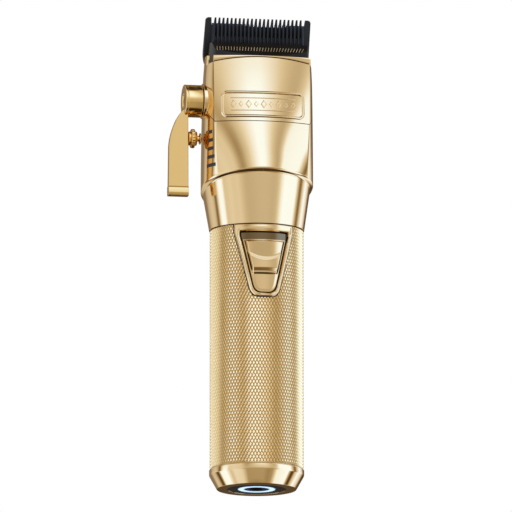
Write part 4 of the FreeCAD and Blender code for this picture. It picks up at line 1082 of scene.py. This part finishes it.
# the zenith and the nadir are dark, which draws the fine dark lines along ledges and grooves
f_cap = ramp(pe, [(0.0, 0.07), (0.5 - 63.0 / 180, 0.07), (0.5 - 52.0 / 180, 1.0), (0.5 + 64.0 / 180, 1.0), (0.5 + 74.0 / 180, 0.07), (1.0, 0.07)])


def mixc(f, a, b):
    n = nt.nodes.new("ShaderNodeMix")
    n.data_type = "RGBA"
    L.new(f, n.inputs["Factor"])
    L.new(a, n.inputs["A"])
    L.new(b, n.inputs["B"])
    return n.outputs["Result"]


val = mixc(f_dn, mixc(f_up, level, above), low)
vs = nt.nodes.new("ShaderNodeSeparateColor")
L.new(val, vs.inputs[0])
fc = nt.nodes.new("ShaderNodeSeparateColor")
L.new(f_cap, fc.inputs[0])
v = mth("DIVIDE", mth("MULTIPLY", vs.outputs[0], fc.outputs[0]), 1.25)
tint = nt.nodes.new("ShaderNodeValToRGB")               # dim panels are warm, bright ones cool white
tint.color_ramp.interpolation = "LINEAR"
e = tint.color_ramp.elements
TS = [(0.0, 0.0, 0.0, 0.0), (0.15, 0.15, 0.105, 0.06), (0.30, 0.30, 0.24, 0.17), (0.537, 0.537, 0.50, 0.44), (0.642, 0.642, 0.65, 0.69), (0.80, 0.80, 0.83, 0.92), (0.895, 0.895, 0.97, 1.17),
      (1.0, 1.0, 1.17, 1.66), (1.10, 1.10, 1.42, 2.35), (1.18, 1.18, 1.66, 3.10), (1.25, 1.25, 1.80, 3.2)]
while len(e) > 1:
    e.remove(e[-1])
e[0].position, e[0].color = 0.0, (0, 0, 0, 1)
for t, r_, g_, b_ in TS[1:]:
    x = e.new(t / 1.25)
    x.color = (r_ / 3.2, g_ / 3.2, b_ / 3.2, 1)
L.new(v, tint.inputs["Fac"])
bg1 = nt.nodes.new("ShaderNodeBackground")
L.new(tint.outputs["Color"], bg1.inputs["Color"])
bg1.inputs["Strength"].default_value = 3.2
bg2 = nt.nodes.new("ShaderNodeBackground")
bg2.inputs["Color"].default_value = (1, 1, 1, 1)
bg2.inputs["Strength"].default_value = 1.0
lp = nt.nodes.new("ShaderNodeLightPath")
mxs = nt.nodes.new("ShaderNodeMixShader")
L.new(lp.outputs["Is Camera Ray"], mxs.inputs[0])
L.new(bg1.outputs[0], mxs.inputs[1])
L.new(bg2.outputs[0], mxs.inputs[2])
L.new(mxs.outputs[0], wo.inputs["Surface"])


def area(name, pos, size, energy, target=(0, 0, 0.1), col=(1, 1, 1)):
    d = bpy.data.lights.new(name, "AREA")
    d.shape = "RECTANGLE"
    d.size, d.size_y = size
    d.energy = energy
    d.color = col
    o = bpy.data.objects.new(name, d)
    o.location = pos
    o.rotation_euler = (Vector(target) - Vector(pos)).to_track_quat("-Z", "Y").to_euler()
    o.visible_glossy = False
    scene.collection.objects.link(o)
    return o


area("key_left", (-0.9, -0.9, 0.75), (0.5, 0.7), 3)
area("key_right", (1.0, -0.6, 0.45), (0.35, 0.9), 2.5)
area("top_soft", (0.1, 0.2, 1.1), (0.9, 0.9), 4)

AZ, EL, DIST = rad(-10.5), rad(-10.2), 8.0
right = Vector((math.cos(AZ), math.sin(AZ), 0))
back = Vector((math.sin(AZ) * math.cos(EL), -math.cos(AZ) * math.cos(EL), math.sin(EL)))
target = Vector((0, 0, 0.1010)) + right * (-0.00026)
cd = bpy.data.cameras.new("camera")
cd.sensor_width = 36.0
cd.lens = 36.0 * DIST / 0.2183
cd.clip_start, cd.clip_end = 1.0, 60.0
cam = bpy.data.objects.new("camera", cd)
cam.location = target + back * DIST
up = back.cross(right)
cam.matrix_world = Matrix(((right.x, up.x, back.x, cam.location.x), (right.y, up.y, back.y, cam.location.y), (right.z, up.z, back.z, cam.location.z), (0, 0, 0, 1)))
scene.collection.objects.link(cam)
scene.camera = cam
scene.view_settings.view_transform = "Standard"
scene.view_settings.look = "None"
